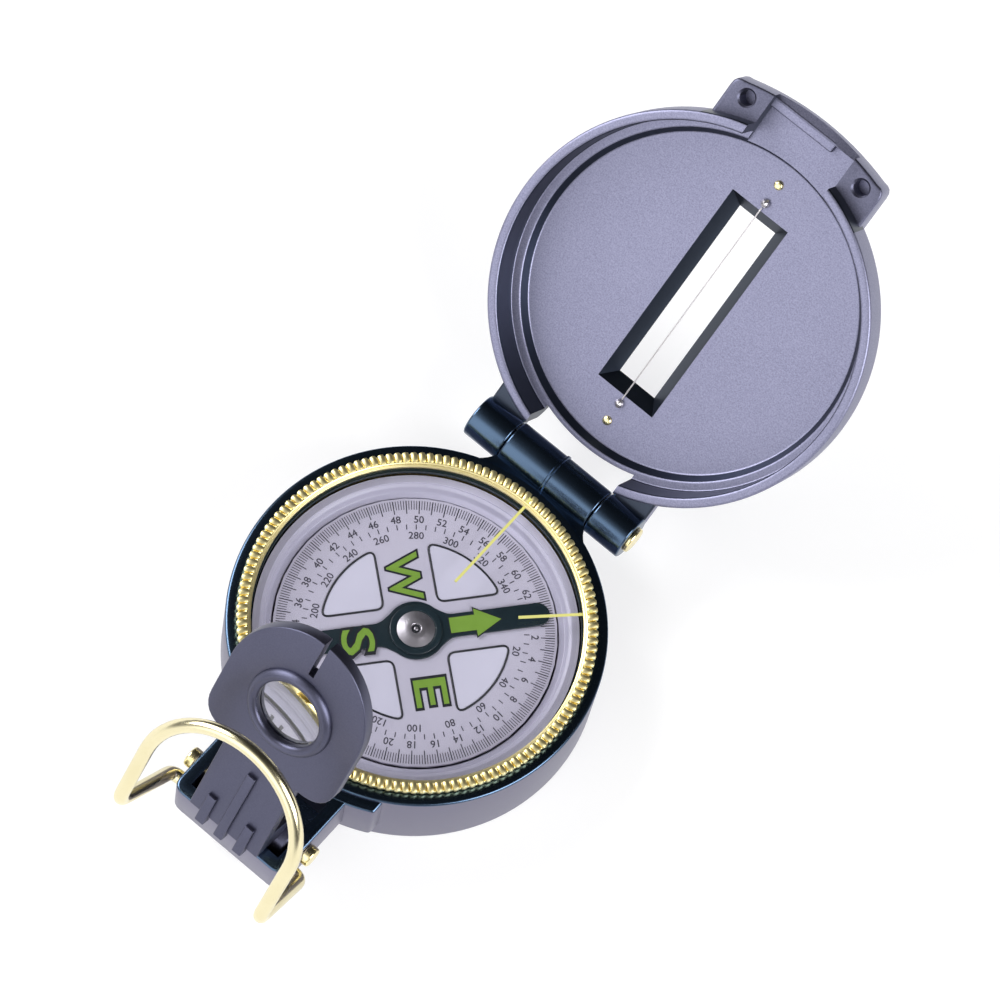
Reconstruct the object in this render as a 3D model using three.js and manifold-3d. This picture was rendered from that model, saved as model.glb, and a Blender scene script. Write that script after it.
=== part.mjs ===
// A folding magnetic compass: a round housing with a turning bezel and a floating card,
// a hinged sighting lid with a hairline, a hinged lens eyepiece and a wire bail.
// Millimetres, +Z up. The origin is the middle of the housing's flat underside.
// +Y runs from the eyepiece tongue to the lid hinge. The lid is open and the eyepiece is up.
import * as THREE from 'three';
import { mergeVertices } from 'three/addons/utils/BufferGeometryUtils.js';
import Module from 'manifold-3d';

const wasm = await Module();
wasm.setup();

// Clearances
const LAYER_GAP = 0.05;
const SEAT_GAP = 0.1;
const PIN_GAP = 0.15;
const RUNNING_GAP = 0.3;
const CUT_MARGIN = 2;

// Roundness of turned faces
const LARGE_SIDES = 64;
const MEDIUM_SIDES = 40;
const SMALL_SIDES = 16;
const CURVE_STEPS = 10;

// Housing cup
const HOUSING_RADIUS = 28;
const HOUSING_HEIGHT = 14.73;
const HOUSING_WALL = 2;
const HOUSING_FLOOR = 2;
const FOOT_CHAMFER = 0.8;
const WALL_ROOT = 1;

// Snap ring that keeps the bezel down
const SNAP_RING_WIDTH = 1;
const SNAP_RING_HEIGHT = 0.8;
const SNAP_RING_DEPTH_BELOW_RIM = 3.6;
const SNAP_GROOVE = 0.5;

// Bezel
const KNURL_INSET = 1.64;
const KNURL_DEPTH = 0.42;
const KNURL_TEETH = 134;
const BEZEL_LIP = 0.45;
const FLANGE_HEIGHT = 1.15;
const SKIRT_WALL = 0.95;
const SKIRT_LENGTH = 5.2;
const CRYSTAL_THICKNESS = 0.9;
const RETAINER_WIDTH = 0.8;
const RETAINER_HEIGHT = 0.7;

// Luminous lines on the crystal
const LINE_WIDTH = 0.55;
const LINE_THICKNESS = 0.12;
const LONG_LINE_LENGTH = 15.65;
const LONG_LINE_ANGLE = 90;
const SHORT_LINE_LENGTH = 9.35;
const SHORT_LINE_ANGLE = 45;

// Capsule
const BOWL_WALL = 1.4;
const BOWL_FLOOR = 1.6;
const COVER_THICKNESS = 0.8;
const SEAL_WIDTH = 0.6;
const SEAL_HEIGHT = 0.6;
const PIVOT_FLANGE_RADIUS = 3;
const PIVOT_FLANGE_HEIGHT = 1.2;
const PIVOT_RADIUS = 0.6;
const PIVOT_POINT_LENGTH = 1.6;

// Floating card
const CARD_MARGIN = 1.25;
const CARD_THICKNESS = 0.5;
const CARD_HEADROOM = 0.5;
const NORTH_ANGLE = 50;
const NEEDLE_MARGIN = 0.9;
const NEEDLE_WIDTH = 3.1;
const NEEDLE_THICKNESS = 0.35;
const HUB_WASHER_RADIUS = 4.5;
const HUB_WASHER_THICKNESS = 0.3;
const HUB_CAP_RADIUS = 3;
const HUB_CAP_THICKNESS = 0.35;
const HUB_DIMPLE_RADIUS = 1.1;
const HUB_DIMPLE_DEPTH = 0.22;
const JEWEL_RADIUS = 1;
const JEWEL_LENGTH = 2.2;
const JEWEL_RECESS_RADIUS = 0.75;
const JEWEL_RECESS_DEPTH = 1.4;

// Lid hinge
const HINGE_OFFSET = 3.41;
const HINGE_DROP = 0.45;
const BARREL_RADIUS = 3.5;
const BASE_BARREL_HALF = 8.3;
const LUG_OUTER = 14.8;
const LUG_SIDE_GAP = 0.15;
const LUG_WEB_LENGTH = 7;
const LUG_WEB_DROP = 0.6;
const BRIDGE_FILLET = 1.7;
const HINGE_PIN_RADIUS = 1.2;
const HINGE_HEAD_RADIUS = 2.1;
const HINGE_HEAD_LENGTH = 0.6;

// Lid
const LID_OPEN_ANGLE = 39.5;
const LID_OVERHANG = 1.3;
const LID_WALL = 1.6;
const LID_DEPTH = 8;
const LID_SKIN = 2.42;
const LEDGE_DEPTH = 6.3;
const LEDGE_WIDTH = 1.4;
const FLOOR_SLOPE = 0.8;
const LID_SIDE_DEPTH = 6;
const LID_EDGE_DEPTH = 7.45;
const LID_EDGE_INSET = 0.8;
const LID_CROWN_INSET = 3.6;
const WINDOW_INSET = 2.3;
const SLOT_LENGTH = 35;
const SLOT_WIDTH = 10.4;
const SLOT_TAPER = 1.87;

// Sighting hairline
const WIRE_RADIUS = 0.12;
const WIRE_SIDES = 6;
const WIRE_HEIGHT = 0.45;
const POST_INSET = 1.4;
const POST_RADIUS = 0.45;
const POST_HEAD_RADIUS = 0.7;
const POST_DEPTH = 1.3;
const DOT_SPACING = 3.3;
const DOT_RADIUS = 0.75;
const DOT_DEPTH = 1;
const DOT_RISE = 0.15;
const LID_PIECE_GAP = 0.25;

// Latch end of the lid
const LATCH_HALF_WIDTH = 13.9;
const LATCH_REACH = 5.2;
const LATCH_CORNER_DROP = 1.7;
const LATCH_CORNER = 1.6;
const LATCH_TOP_DEPTH = 3.8;
const LATCH_BOTTOM_DEPTH = 9.9;
const LATCH_NOTCH_HALF = 7.5;
const LATCH_LIP = 1.5;
const LATCH_LIP_DEPTH = 6.2;
const LATCH_FLOOR_DEPTH = 7.2;
const LATCH_HOLE_RADIUS = 1.15;
const LATCH_HOLE_SPACING = 21.3;
const LATCH_HOLE_REACH = 1.7;
const LATCH_HOLE_DEPTH = 3.5;
const LATCH_ROOT = 5;

// Tongue and ears of the housing
const EAR_HALF_WIDTH = 14.1;
const EAR_STEP = 1.7;
const EAR_DROP = 0.53;
const EAR_BOTTOM = 4.5;
const TONGUE_HALF_WIDTH = 10.2;
const TONGUE_WALL = 2;
const TONGUE_REACH = 14.3;
const TONGUE_HEIGHT = 7.9;
const TONGUE_FLOOR = 1.5;
const TONGUE_CORNER = 2;

// Eyepiece
const EYEPIECE_ANGLE = 62;
const EYE_PIN_FROM_END = 5.8;
const EYE_PIN_DEPTH = 2.2;
const EYE_PIN_RADIUS = 1.1;
const EYE_PIN_HEAD_RADIUS = 1.6;
const EYE_PIN_HEAD_LENGTH = 1.45;
const KNUCKLE_RADIUS = 2.8;
const KNUCKLE_SIDE_GAP = 0.4;
const PLATE_OFFSET = 8;
const PLATE_THICKNESS = 2.1;
const STEM_HALF_WIDTH = 6.3;
const STEM_START = 0.9;
const NECK_START = 1.2;
const NECK_LENGTH = 3.8;
const DISC_HALF_WIDTH = 11.8;
const DISC_CENTRE = 29.6;
const DISC_TOP = 42.8;
const SIGHT_SLOT_WIDTH = 1.25;
const SIGHT_SLOT_LENGTH = 6.7;
const LENS_CENTRE = 27.7;
const LENS_APERTURE = 5.3;
const LENS_RIM = 0.7;
const LENS_EDGE = 0.9;
const LENS_BULGE = 0.55;
const LENS_DOME_STEPS = 4;
const LENS_SEAT = 0.9;
const LENS_RING_WIDTH = 1.4;
const LENS_RING_HEIGHT = 1;
const RIB_WIDTH = 1.6;
const RIB_RISE = 0.6;
const RIB_SPACING = 3.5;
const RIB_TOOTH = 1.4;
const LONG_RIB_LENGTH = 13.9;
const SHORT_RIB_LENGTH = 5.7;

// Bail
const BAIL_WIRE_RADIUS = 1;
const BAIL_PIVOT_FROM_END = 2.6;
const BAIL_PIVOT_DEPTH = 3.35;
const BAIL_PIN_DEPTH = 1.1;
const BAIL_PIN_OUT = 2;
const BAIL_SIDE_GAP = 1.9;
const BAIL_BEND_BACK = 11.1;
const BAIL_BEND_RISE = 9.65;
const BAIL_APEX_FORWARD = 0.9;
const BAIL_APEX_RISE = 31.15;
const BAIL_CORNER = 2.2;
const BAIL_STEPS = 60;
const BAIL_SIDES = 8;

// Sizes that follow from the values above
const boreRadius = HOUSING_RADIUS - HOUSING_WALL;
const rootRadius = HOUSING_RADIUS - WALL_ROOT;
const earRadius = HOUSING_RADIUS + EAR_STEP;
const earTop = HOUSING_HEIGHT - EAR_DROP;
const hingeReach = HOUSING_RADIUS + HINGE_OFFSET;
const hingeHeight = HOUSING_HEIGHT - HINGE_DROP;
const knurlRadius = HOUSING_RADIUS - KNURL_INSET;
const flangeBottom = HOUSING_HEIGHT + RUNNING_GAP;
const skirtRadius = boreRadius - RUNNING_GAP;
const skirtBore = skirtRadius - SKIRT_WALL;
const bezelOpening = skirtBore - BEZEL_LIP;
const crystalTop = flangeBottom - SEAT_GAP;
const crystalBottom = crystalTop - CRYSTAL_THICKNESS;
const crystalRadius = skirtBore - SEAT_GAP;
const retainerTop = crystalBottom - SEAT_GAP;
const retainerBore = crystalRadius - RETAINER_WIDTH;
const snapTop = HOUSING_HEIGHT - SNAP_RING_DEPTH_BELOW_RIM;
const snapBottom = snapTop - SNAP_RING_HEIGHT;
const snapOuter = boreRadius + SNAP_GROOVE - SEAT_GAP;
const snapInner = snapOuter - SNAP_RING_WIDTH;
const bowlRadius = retainerBore - RUNNING_GAP;
const cardRadius = bowlRadius - BOWL_WALL - CARD_MARGIN;
const needleHalf = cardRadius - NEEDLE_MARGIN;
const bowlBottom = HOUSING_FLOOR + SEAT_GAP;
const bowlInside = bowlBottom + BOWL_FLOOR;
const coverTop = crystalBottom - RUNNING_GAP;
const coverBottom = coverTop - COVER_THICKNESS;
const bowlTop = coverBottom - SEAT_GAP;
const sealCentre = bowlRadius - BOWL_WALL / 2;
const hubTop = coverBottom - CARD_HEADROOM;
const hubCapBottom = hubTop - HUB_CAP_THICKNESS;
const washerTop = hubCapBottom - LAYER_GAP;
const needleTop = washerTop - HUB_WASHER_THICKNESS - LAYER_GAP;
const cardTop = needleTop - NEEDLE_THICKNESS - LAYER_GAP;
const jewelTop = hubCapBottom - LAYER_GAP;
const jewelBottom = jewelTop - JEWEL_LENGTH;
const jewelHole = JEWEL_RADIUS + LAYER_GAP;
const pivotTip = jewelBottom + JEWEL_RECESS_DEPTH - SEAT_GAP;
const lidRadius = HOUSING_RADIUS + LID_OVERHANG;
const windowRadius = lidRadius - WINDOW_INSET;
const lidRim = -HINGE_DROP;
const lidFloor = lidRim - LID_DEPTH;
const lidOuter = lidFloor - LID_SKIN;
const lidBore = lidRadius - LID_WALL;
const ledgeInner = lidBore - LEDGE_WIDTH;
const lidFloorRadius = ledgeInner - FLOOR_SLOPE;
const lugInner = BASE_BARREL_HALF + LUG_SIDE_GAP;
const latchEnd = lidRadius + LATCH_REACH;
const latchStart = lidFloorRadius - LATCH_ROOT;
const postSpacing = SLOT_LENGTH / 2 + POST_INSET;
const dotSpacing = postSpacing + DOT_SPACING;
const tongueEnd = HOUSING_RADIUS + TONGUE_REACH;
const tongueBottom = earTop - TONGUE_HEIGHT;
const channelHalf = TONGUE_HALF_WIDTH - TONGUE_WALL;
const channelFloor = tongueBottom + TONGUE_FLOOR;
const eyePinY = EYE_PIN_FROM_END - tongueEnd;
const eyePinZ = earTop - EYE_PIN_DEPTH;
const knuckleHalf = channelHalf - KNUCKLE_SIDE_GAP;
const plateInner = PLATE_OFFSET - PLATE_THICKNESS;
const lensRadius = LENS_APERTURE + LENS_RIM;
const lensPocket = lensRadius + LID_PIECE_GAP;
const lensSeat = plateInner + LENS_SEAT;
const bailPinEnd = TONGUE_HALF_WIDTH - BAIL_PIN_DEPTH;
const bailHalfWidth = TONGUE_HALF_WIDTH + BAIL_WIRE_RADIUS + BAIL_SIDE_GAP;
const bailPivotY = BAIL_PIVOT_FROM_END - tongueEnd;
const bailPivotZ = earTop - BAIL_PIVOT_DEPTH;
const bailBendY = bailPivotY - BAIL_BEND_BACK;
const bailBendZ = bailPivotZ + BAIL_BEND_RISE;
const bailApexY = bailPivotY + BAIL_APEX_FORWARD;
const bailApexZ = bailPivotZ + BAIL_APEX_RISE;

// Finishes
const finish = (color, roughness, metalness) => (
  new THREE.MeshStandardMaterial({ color, roughness, metalness })
);
const painted = finish(0x8c899f, 0.45, 0.6);
const paintedDark = finish(0x5a5766, 0.45, 0.6);
const brass = finish(0xd8c070, 0.3, 1);
const steel = finish(0xc8ccd2, 0.25, 1);
const clearPlastic = finish(0xeeeef4, 0.1, 0);
const glass = finish(0xf4f6fa, 0.05, 0);
const rubber = finish(0x20242a, 0.8, 0);
const cardPlastic = finish(0xa7a3b2, 0.6, 0);
const blackEnamel = finish(0x121a1e, 0.4, 0.2);
const luminous = finish(0xdfe06a, 0.5, 0);

// A closed body for joining and cutting, from any closed geometry
function solid(geometry) {
  const bare = geometry.clone();
  bare.deleteAttribute('normal');
  bare.deleteAttribute('uv');
  const merged = mergeVertices(bare);
  const corners = merged.index.array;
  const triangles = [];
  for (let i = 0; i < corners.length; i += 3) {
    const [a, b, c] = [corners[i], corners[i + 1], corners[i + 2]];
    if (a !== b && b !== c && c !== a) triangles.push(a, b, c);
  }
  return new wasm.Manifold(new wasm.Mesh({
    numProp: 3,
    vertProperties: new Float32Array(merged.attributes.position.array),
    triVerts: new Uint32Array(triangles),
  }));
}

// The geometry of a joined and cut body
function geometryOf(body) {
  const mesh = body.getMesh();
  const geometry = new THREE.BufferGeometry();
  geometry.setAttribute('position', new THREE.BufferAttribute(mesh.vertProperties, 3));
  geometry.setIndex(new THREE.BufferAttribute(mesh.triVerts, 1));
  geometry.computeVertexNormals();
  return geometry;
}

// A body turned about Z from a list of radius and height pairs
function turned(profile, sides) {
  const points = profile.map(([radius, height]) => new THREE.Vector2(radius, height));
  return new THREE.LatheGeometry(points, sides).rotateX(Math.PI / 2);
}

// A ring turned about Z with a square section
function ring(inner, outer, bottom, top, sides) {
  return turned([[inner, bottom], [outer, bottom], [outer, top], [inner, top], [inner, bottom]], sides);
}

// A disc turned about Z
function disc(radius, bottom, top, sides) {
  return turned([[0, bottom], [radius, bottom], [radius, top], [0, top]], sides);
}

// A block between two corners
function block([x0, y0, z0], [x1, y1, z1]) {
  const box = new THREE.BoxGeometry(x1 - x0, y1 - y0, z1 - z0);
  return box.translate((x0 + x1) / 2, (y0 + y1) / 2, (z0 + z1) / 2);
}

// A rod along X between two ends, centred on a line through y and z
function rod(radius, x0, x1, y, z, sides) {
  return disc(radius, x0, x1, sides).rotateY(Math.PI / 2).translate(0, y, z);
}

// A flat outline raised between two heights
function raised(shape, bottom, top) {
  const settings = { depth: top - bottom, bevelEnabled: false, curveSegments: CURVE_STEPS };
  return new THREE.ExtrudeGeometry(shape, settings).translate(0, 0, bottom);
}

// A named piece of the compass
function piece(name, shape, material) {
  const body = shape.isBufferGeometry ? solid(shape) : shape;
  const mesh = new THREE.Mesh(geometryOf(body), material);
  mesh.name = name;
  return mesh;
}

// The angle of the point on a circle that lies at a given distance across
const angleAcross = (across, radius) => Math.acos(across / radius);

// Housing

function housingCup() {
  const grooveRadius = boreRadius + SNAP_GROOVE;
  return solid(turned([
    [0, 0],
    [HOUSING_RADIUS - FOOT_CHAMFER, 0],
    [HOUSING_RADIUS, FOOT_CHAMFER],
    [HOUSING_RADIUS, HOUSING_HEIGHT],
    [boreRadius, HOUSING_HEIGHT],
    [boreRadius, snapTop + SEAT_GAP],
    [grooveRadius, snapTop + SEAT_GAP],
    [grooveRadius, snapBottom - SEAT_GAP],
    [boreRadius, snapBottom - SEAT_GAP],
    [boreRadius, HOUSING_FLOOR],
    [0, HOUSING_FLOOR],
  ], LARGE_SIDES));
}

// The bridge from the rim to the hinge barrel, with a hollow fillet at each side
function hingeBridge() {
  const half = BASE_BARREL_HALF;
  const foot = half + BRIDGE_FILLET;
  const rootAngle = angleAcross(foot, rootRadius);
  const rootY = rootRadius * Math.sin(rootAngle);
  const rimY = Math.sqrt(HOUSING_RADIUS ** 2 - half ** 2);
  const shape = new THREE.Shape();
  shape.moveTo(half, hingeReach);
  shape.lineTo(half, rimY + BRIDGE_FILLET / 2);
  shape.quadraticCurveTo(half, rimY - BRIDGE_FILLET / 4, foot, rootY + WALL_ROOT);
  shape.lineTo(foot, rootY);
  shape.absarc(0, 0, rootRadius, rootAngle, Math.PI - rootAngle, false);
  shape.lineTo(-foot, rootY + WALL_ROOT);
  shape.quadraticCurveTo(-half, rimY - BRIDGE_FILLET / 4, -half, rimY + BRIDGE_FILLET / 2);
  shape.lineTo(-half, hingeReach);
  return solid(raised(shape, hingeHeight - BARREL_RADIUS, HOUSING_HEIGHT));
}

// The shoulder that carries the tongue, concentric with the cup
function ears() {
  const outer = angleAcross(EAR_HALF_WIDTH, earRadius);
  const inner = angleAcross(EAR_HALF_WIDTH, rootRadius);
  const shape = new THREE.Shape();
  shape.absarc(0, 0, earRadius, -Math.PI + outer, -outer, false);
  shape.lineTo(EAR_HALF_WIDTH, -rootRadius * Math.sin(inner));
  shape.absarc(0, 0, rootRadius, -inner, -Math.PI + inner, true);
  return solid(raised(shape, EAR_BOTTOM, earTop));
}

function tongue() {
  const half = TONGUE_HALF_WIDTH;
  const end = -tongueEnd;
  const shape = new THREE.Shape();
  shape.moveTo(-half, -rootRadius);
  shape.lineTo(-half, end + TONGUE_CORNER);
  shape.quadraticCurveTo(-half, end, -half + TONGUE_CORNER, end);
  shape.lineTo(half - TONGUE_CORNER, end);
  shape.quadraticCurveTo(half, end, half, end + TONGUE_CORNER);
  shape.lineTo(half, -rootRadius);
  return solid(raised(shape, tongueBottom, earTop));
}

function housing() {
  const pinBore = HINGE_PIN_RADIUS + SEAT_GAP;
  const eyeBore = EYE_PIN_RADIUS + SEAT_GAP;
  const bailBore = BAIL_WIRE_RADIUS + PIN_GAP;
  const past = LUG_OUTER + CUT_MARGIN;
  const channel = block(
    [-channelHalf, -tongueEnd + TONGUE_WALL, channelFloor],
    [channelHalf, -earRadius, earTop + CUT_MARGIN],
  );
  const half = BASE_BARREL_HALF;
  let body = housingCup()
    .add(hingeBridge())
    .add(solid(rod(BARREL_RADIUS, -half, half, hingeReach, hingeHeight, MEDIUM_SIDES)))
    .add(ears())
    .add(tongue())
    .subtract(solid(channel))
    .subtract(solid(rod(pinBore, -past, past, hingeReach, hingeHeight, SMALL_SIDES)))
    .subtract(solid(rod(eyeBore, -past, past, eyePinY, eyePinZ, SMALL_SIDES)));
  for (const side of [-1, 1]) {
    const ends = [side * (bailPinEnd - SEAT_GAP), side * past].sort((a, b) => a - b);
    const bore = rod(bailBore, ends[0], ends[1], bailPivotY, bailPivotZ, SMALL_SIDES);
    body = body.subtract(solid(bore));
  }
  return body;
}

// Pins

function hingePin() {
  const head = LUG_OUTER + SEAT_GAP;
  return turned([
    [0, -LUG_OUTER],
    [HINGE_PIN_RADIUS, -LUG_OUTER],
    [HINGE_PIN_RADIUS, head],
    [HINGE_HEAD_RADIUS, head],
    [HINGE_HEAD_RADIUS, head + HINGE_HEAD_LENGTH],
    [0, head + HINGE_HEAD_LENGTH],
  ], SMALL_SIDES).rotateY(Math.PI / 2).translate(0, hingeReach, hingeHeight);
}

function eyepiecePin() {
  const head = TONGUE_HALF_WIDTH + SEAT_GAP;
  const end = head + EYE_PIN_HEAD_LENGTH;
  return turned([
    [0, -end],
    [EYE_PIN_HEAD_RADIUS, -end],
    [EYE_PIN_HEAD_RADIUS, -head],
    [EYE_PIN_RADIUS, -head],
    [EYE_PIN_RADIUS, head],
    [EYE_PIN_HEAD_RADIUS, head],
    [EYE_PIN_HEAD_RADIUS, end],
    [0, end],
  ], SMALL_SIDES).rotateY(Math.PI / 2).translate(0, eyePinY, eyePinZ);
}

// Bezel

function bezelRing() {
  const outline = new THREE.Shape();
  for (let tooth = 0; tooth < KNURL_TEETH; tooth += 1) {
    for (const half of [0, 0.5]) {
      const angle = 2 * Math.PI * (tooth + half) / KNURL_TEETH;
      const radius = half ? knurlRadius - KNURL_DEPTH : knurlRadius;
      const [x, y] = [radius * Math.cos(angle), radius * Math.sin(angle)];
      if (tooth + half === 0) outline.moveTo(x, y);
      else outline.lineTo(x, y);
    }
  }
  const flange = solid(raised(outline, flangeBottom, flangeBottom + FLANGE_HEIGHT));
  const opening = disc(
    bezelOpening, flangeBottom - CUT_MARGIN, flangeBottom + FLANGE_HEIGHT + CUT_MARGIN, LARGE_SIDES,
  );
  const skirtBottom = flangeBottom - SKIRT_LENGTH;
  const grooveRadius = snapInner - SEAT_GAP;
  const skirtTop = flangeBottom + FLANGE_HEIGHT / 2;
  const skirt = turned([
    [skirtBore, skirtBottom],
    [skirtRadius, skirtBottom],
    [skirtRadius, snapBottom - SEAT_GAP],
    [grooveRadius, snapBottom - SEAT_GAP],
    [grooveRadius, snapTop + SEAT_GAP],
    [skirtRadius, snapTop + SEAT_GAP],
    [skirtRadius, skirtTop],
    [skirtBore, skirtTop],
    [skirtBore, skirtBottom],
  ], LARGE_SIDES);
  return flange.subtract(solid(opening)).add(solid(skirt));
}

function luminousLine(length, angle) {
  const bottom = crystalTop + LAYER_GAP;
  const end = bezelOpening - PIN_GAP;
  const line = block(
    [end - length, -LINE_WIDTH / 2, bottom],
    [end, LINE_WIDTH / 2, bottom + LINE_THICKNESS],
  );
  return line.rotateZ(THREE.MathUtils.degToRad(angle));
}

// Capsule

function capsuleBowl() {
  const grooveInner = sealCentre - SEAL_WIDTH / 2 - LAYER_GAP;
  const grooveOuter = sealCentre + SEAL_WIDTH / 2 + LAYER_GAP;
  const grooveBottom = coverBottom - SEAL_HEIGHT - LAYER_GAP * 2;
  return turned([
    [0, bowlBottom],
    [bowlRadius, bowlBottom],
    [bowlRadius, bowlTop],
    [grooveOuter, bowlTop],
    [grooveOuter, grooveBottom],
    [grooveInner, grooveBottom],
    [grooveInner, bowlTop],
    [bowlRadius - BOWL_WALL, bowlTop],
    [bowlRadius - BOWL_WALL, bowlInside],
    [0, bowlInside],
  ], MEDIUM_SIDES);
}

function capsuleSeal() {
  const top = coverBottom - LAYER_GAP;
  const half = SEAL_WIDTH / 2;
  return ring(sealCentre - half, sealCentre + half, top - SEAL_HEIGHT, top, MEDIUM_SIDES);
}

function pivotPost() {
  const foot = bowlInside + LAYER_GAP;
  return turned([
    [0, foot],
    [PIVOT_FLANGE_RADIUS, foot],
    [PIVOT_FLANGE_RADIUS, foot + PIVOT_FLANGE_HEIGHT],
    [PIVOT_RADIUS, foot + PIVOT_FLANGE_HEIGHT],
    [PIVOT_RADIUS, pivotTip - PIVOT_POINT_LENGTH],
    [0, pivotTip],
  ], SMALL_SIDES);
}

// Card

// A flat bar with round ends and a hole for the jewel cup
function needleBar() {
  const half = NEEDLE_WIDTH / 2;
  const straight = needleHalf - half;
  const bottom = needleTop - NEEDLE_THICKNESS;
  const end = (side) => solid(disc(half, bottom, needleTop, SMALL_SIDES).translate(side * straight, 0, 0));
  const bar = solid(block([-straight, -half, bottom], [straight, half, needleTop]))
    .add(end(-1))
    .add(end(1))
    .subtract(solid(disc(jewelHole, bottom - CUT_MARGIN, needleTop + CUT_MARGIN, SMALL_SIDES)));
  return geometryOf(bar).rotateZ(THREE.MathUtils.degToRad(NORTH_ANGLE));
}

function hubCap() {
  return turned([
    [0, hubCapBottom],
    [HUB_CAP_RADIUS, hubCapBottom],
    [HUB_CAP_RADIUS, hubTop - HUB_DIMPLE_DEPTH],
    [HUB_DIMPLE_RADIUS, hubTop],
    [0, hubTop - HUB_DIMPLE_DEPTH],
  ], SMALL_SIDES);
}

function jewelCup() {
  return turned([
    [0, jewelBottom + JEWEL_RECESS_DEPTH],
    [JEWEL_RECESS_RADIUS, jewelBottom],
    [JEWEL_RADIUS, jewelBottom],
    [JEWEL_RADIUS, jewelTop],
    [0, jewelTop],
  ], SMALL_SIDES);
}

// Lid, in a frame whose X is the hinge axis, Y points away from the hinge and Z out of the cavity

function onLidCentre(geometry) {
  return geometry.translate(0, hingeReach, 0);
}

function lidDish() {
  return solid(onLidCentre(turned([
    [0, lidOuter],
    [lidRadius - LID_CROWN_INSET, lidOuter],
    [lidRadius - LID_EDGE_INSET, lidRim - LID_EDGE_DEPTH],
    [lidRadius, lidRim - LID_SIDE_DEPTH],
    [lidRadius, lidRim],
    [0, lidRim],
  ], LARGE_SIDES)));
}

function lidCavity() {
  return solid(onLidCentre(turned([
    [0, lidFloor],
    [lidFloorRadius, lidFloor],
    [ledgeInner, lidRim - LEDGE_DEPTH],
    [lidBore, lidRim - LEDGE_DEPTH],
    [lidBore, lidRim + CUT_MARGIN],
    [0, lidRim + CUT_MARGIN],
  ], LARGE_SIDES)));
}

function lidLug(side) {
  const [x0, x1] = [side * lugInner, side * LUG_OUTER].sort((a, b) => a - b);
  const web = block([x0, 0, -BARREL_RADIUS], [x1, LUG_WEB_LENGTH, -LUG_WEB_DROP]);
  return solid(rod(BARREL_RADIUS, x0, x1, 0, 0, MEDIUM_SIDES)).add(solid(web));
}

// The gap in the wall where the housing's barrel passes, its inner edge concentric with the lid
function hingeWindow() {
  const across = block(
    [-lugInner, -BARREL_RADIUS - CUT_MARGIN, lidOuter - CUT_MARGIN],
    [lugInner, hingeReach / 2, BARREL_RADIUS + CUT_MARGIN],
  );
  const kept = onLidCentre(disc(
    windowRadius, lidOuter - CUT_MARGIN * 2, BARREL_RADIUS + CUT_MARGIN * 2, LARGE_SIDES,
  ));
  return solid(across).subtract(solid(kept));
}

// The block at the far end, cut from the same outline as the rim and rounded at its corners
function latchBlock() {
  const half = LATCH_HALF_WIDTH;
  const corner = latchEnd - LATCH_CORNER_DROP;
  const shape = new THREE.Shape();
  shape.moveTo(-half, latchStart);
  shape.lineTo(half, latchStart);
  shape.lineTo(half, corner - LATCH_CORNER);
  shape.quadraticCurveTo(half, corner, half - LATCH_CORNER, corner);
  shape.quadraticCurveTo(0, latchEnd + LATCH_CORNER_DROP, -half + LATCH_CORNER, corner);
  shape.quadraticCurveTo(-half, corner, -half, corner - LATCH_CORNER);
  return solid(onLidCentre(raised(shape, lidRim - LATCH_BOTTOM_DEPTH, lidRim - LATCH_TOP_DEPTH)));
}

// The recess that lets the eyepiece stem through the closed lid
function latchNotch() {
  const recess = block(
    [-LATCH_NOTCH_HALF, latchStart, lidRim - LATCH_FLOOR_DEPTH],
    [LATCH_NOTCH_HALF, latchEnd - LATCH_LIP, lidRim + CUT_MARGIN],
  );
  const overLip = block(
    [-LATCH_NOTCH_HALF, latchStart, lidRim - LATCH_LIP_DEPTH],
    [LATCH_NOTCH_HALF, latchEnd + CUT_MARGIN, lidRim + CUT_MARGIN],
  );
  return solid(onLidCentre(recess)).add(solid(onLidCentre(overLip)));
}

// The sighting slot, wider at the floor than at the outer face
function sightingSlot() {
  const depth = LID_SKIN + CUT_MARGIN * 2;
  const slope = SLOT_TAPER / LID_SKIN;
  const top = lidFloor + CUT_MARGIN;
  const slot = new THREE.BoxGeometry(SLOT_WIDTH, SLOT_LENGTH, depth).translate(0, 0, top - depth / 2);
  const place = slot.attributes.position;
  for (let i = 0; i < place.count; i += 1) {
    const inward = (lidFloor - place.getZ(i)) * slope;
    place.setX(i, place.getX(i) - Math.sign(place.getX(i)) * inward);
    place.setY(i, place.getY(i) - Math.sign(place.getY(i)) * inward);
  }
  return solid(onLidCentre(slot));
}

function lidBlindHole(radius, depth, top, x, y) {
  const hole = disc(radius, top - depth, top + CUT_MARGIN, SMALL_SIDES);
  return solid(onLidCentre(hole.translate(x, y, 0)));
}

function lidShell() {
  const pinBore = HINGE_PIN_RADIUS + RUNNING_GAP;
  let body = lidDish().add(latchBlock());
  for (const side of [-1, 1]) body = body.add(lidLug(side));
  body = body
    .subtract(lidCavity())
    .subtract(hingeWindow())
    .subtract(latchNotch())
    .subtract(sightingSlot())
    .subtract(solid(rod(pinBore, -LUG_OUTER - CUT_MARGIN, LUG_OUTER + CUT_MARGIN, 0, 0, SMALL_SIDES)));
  for (const side of [-1, 1]) {
    const latchTop = lidRim - LATCH_TOP_DEPTH;
    const holeX = side * LATCH_HOLE_SPACING / 2;
    const holeY = lidRadius + LATCH_HOLE_REACH;
    body = body
      .subtract(lidBlindHole(LATCH_HOLE_RADIUS, LATCH_HOLE_DEPTH, latchTop, holeX, holeY))
      .subtract(lidBlindHole(POST_RADIUS + LID_PIECE_GAP, POST_DEPTH, lidFloor, 0, side * postSpacing))
      .subtract(lidBlindHole(DOT_RADIUS + LID_PIECE_GAP, DOT_DEPTH, lidFloor, 0, side * dotSpacing));
  }
  return body;
}

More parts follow.
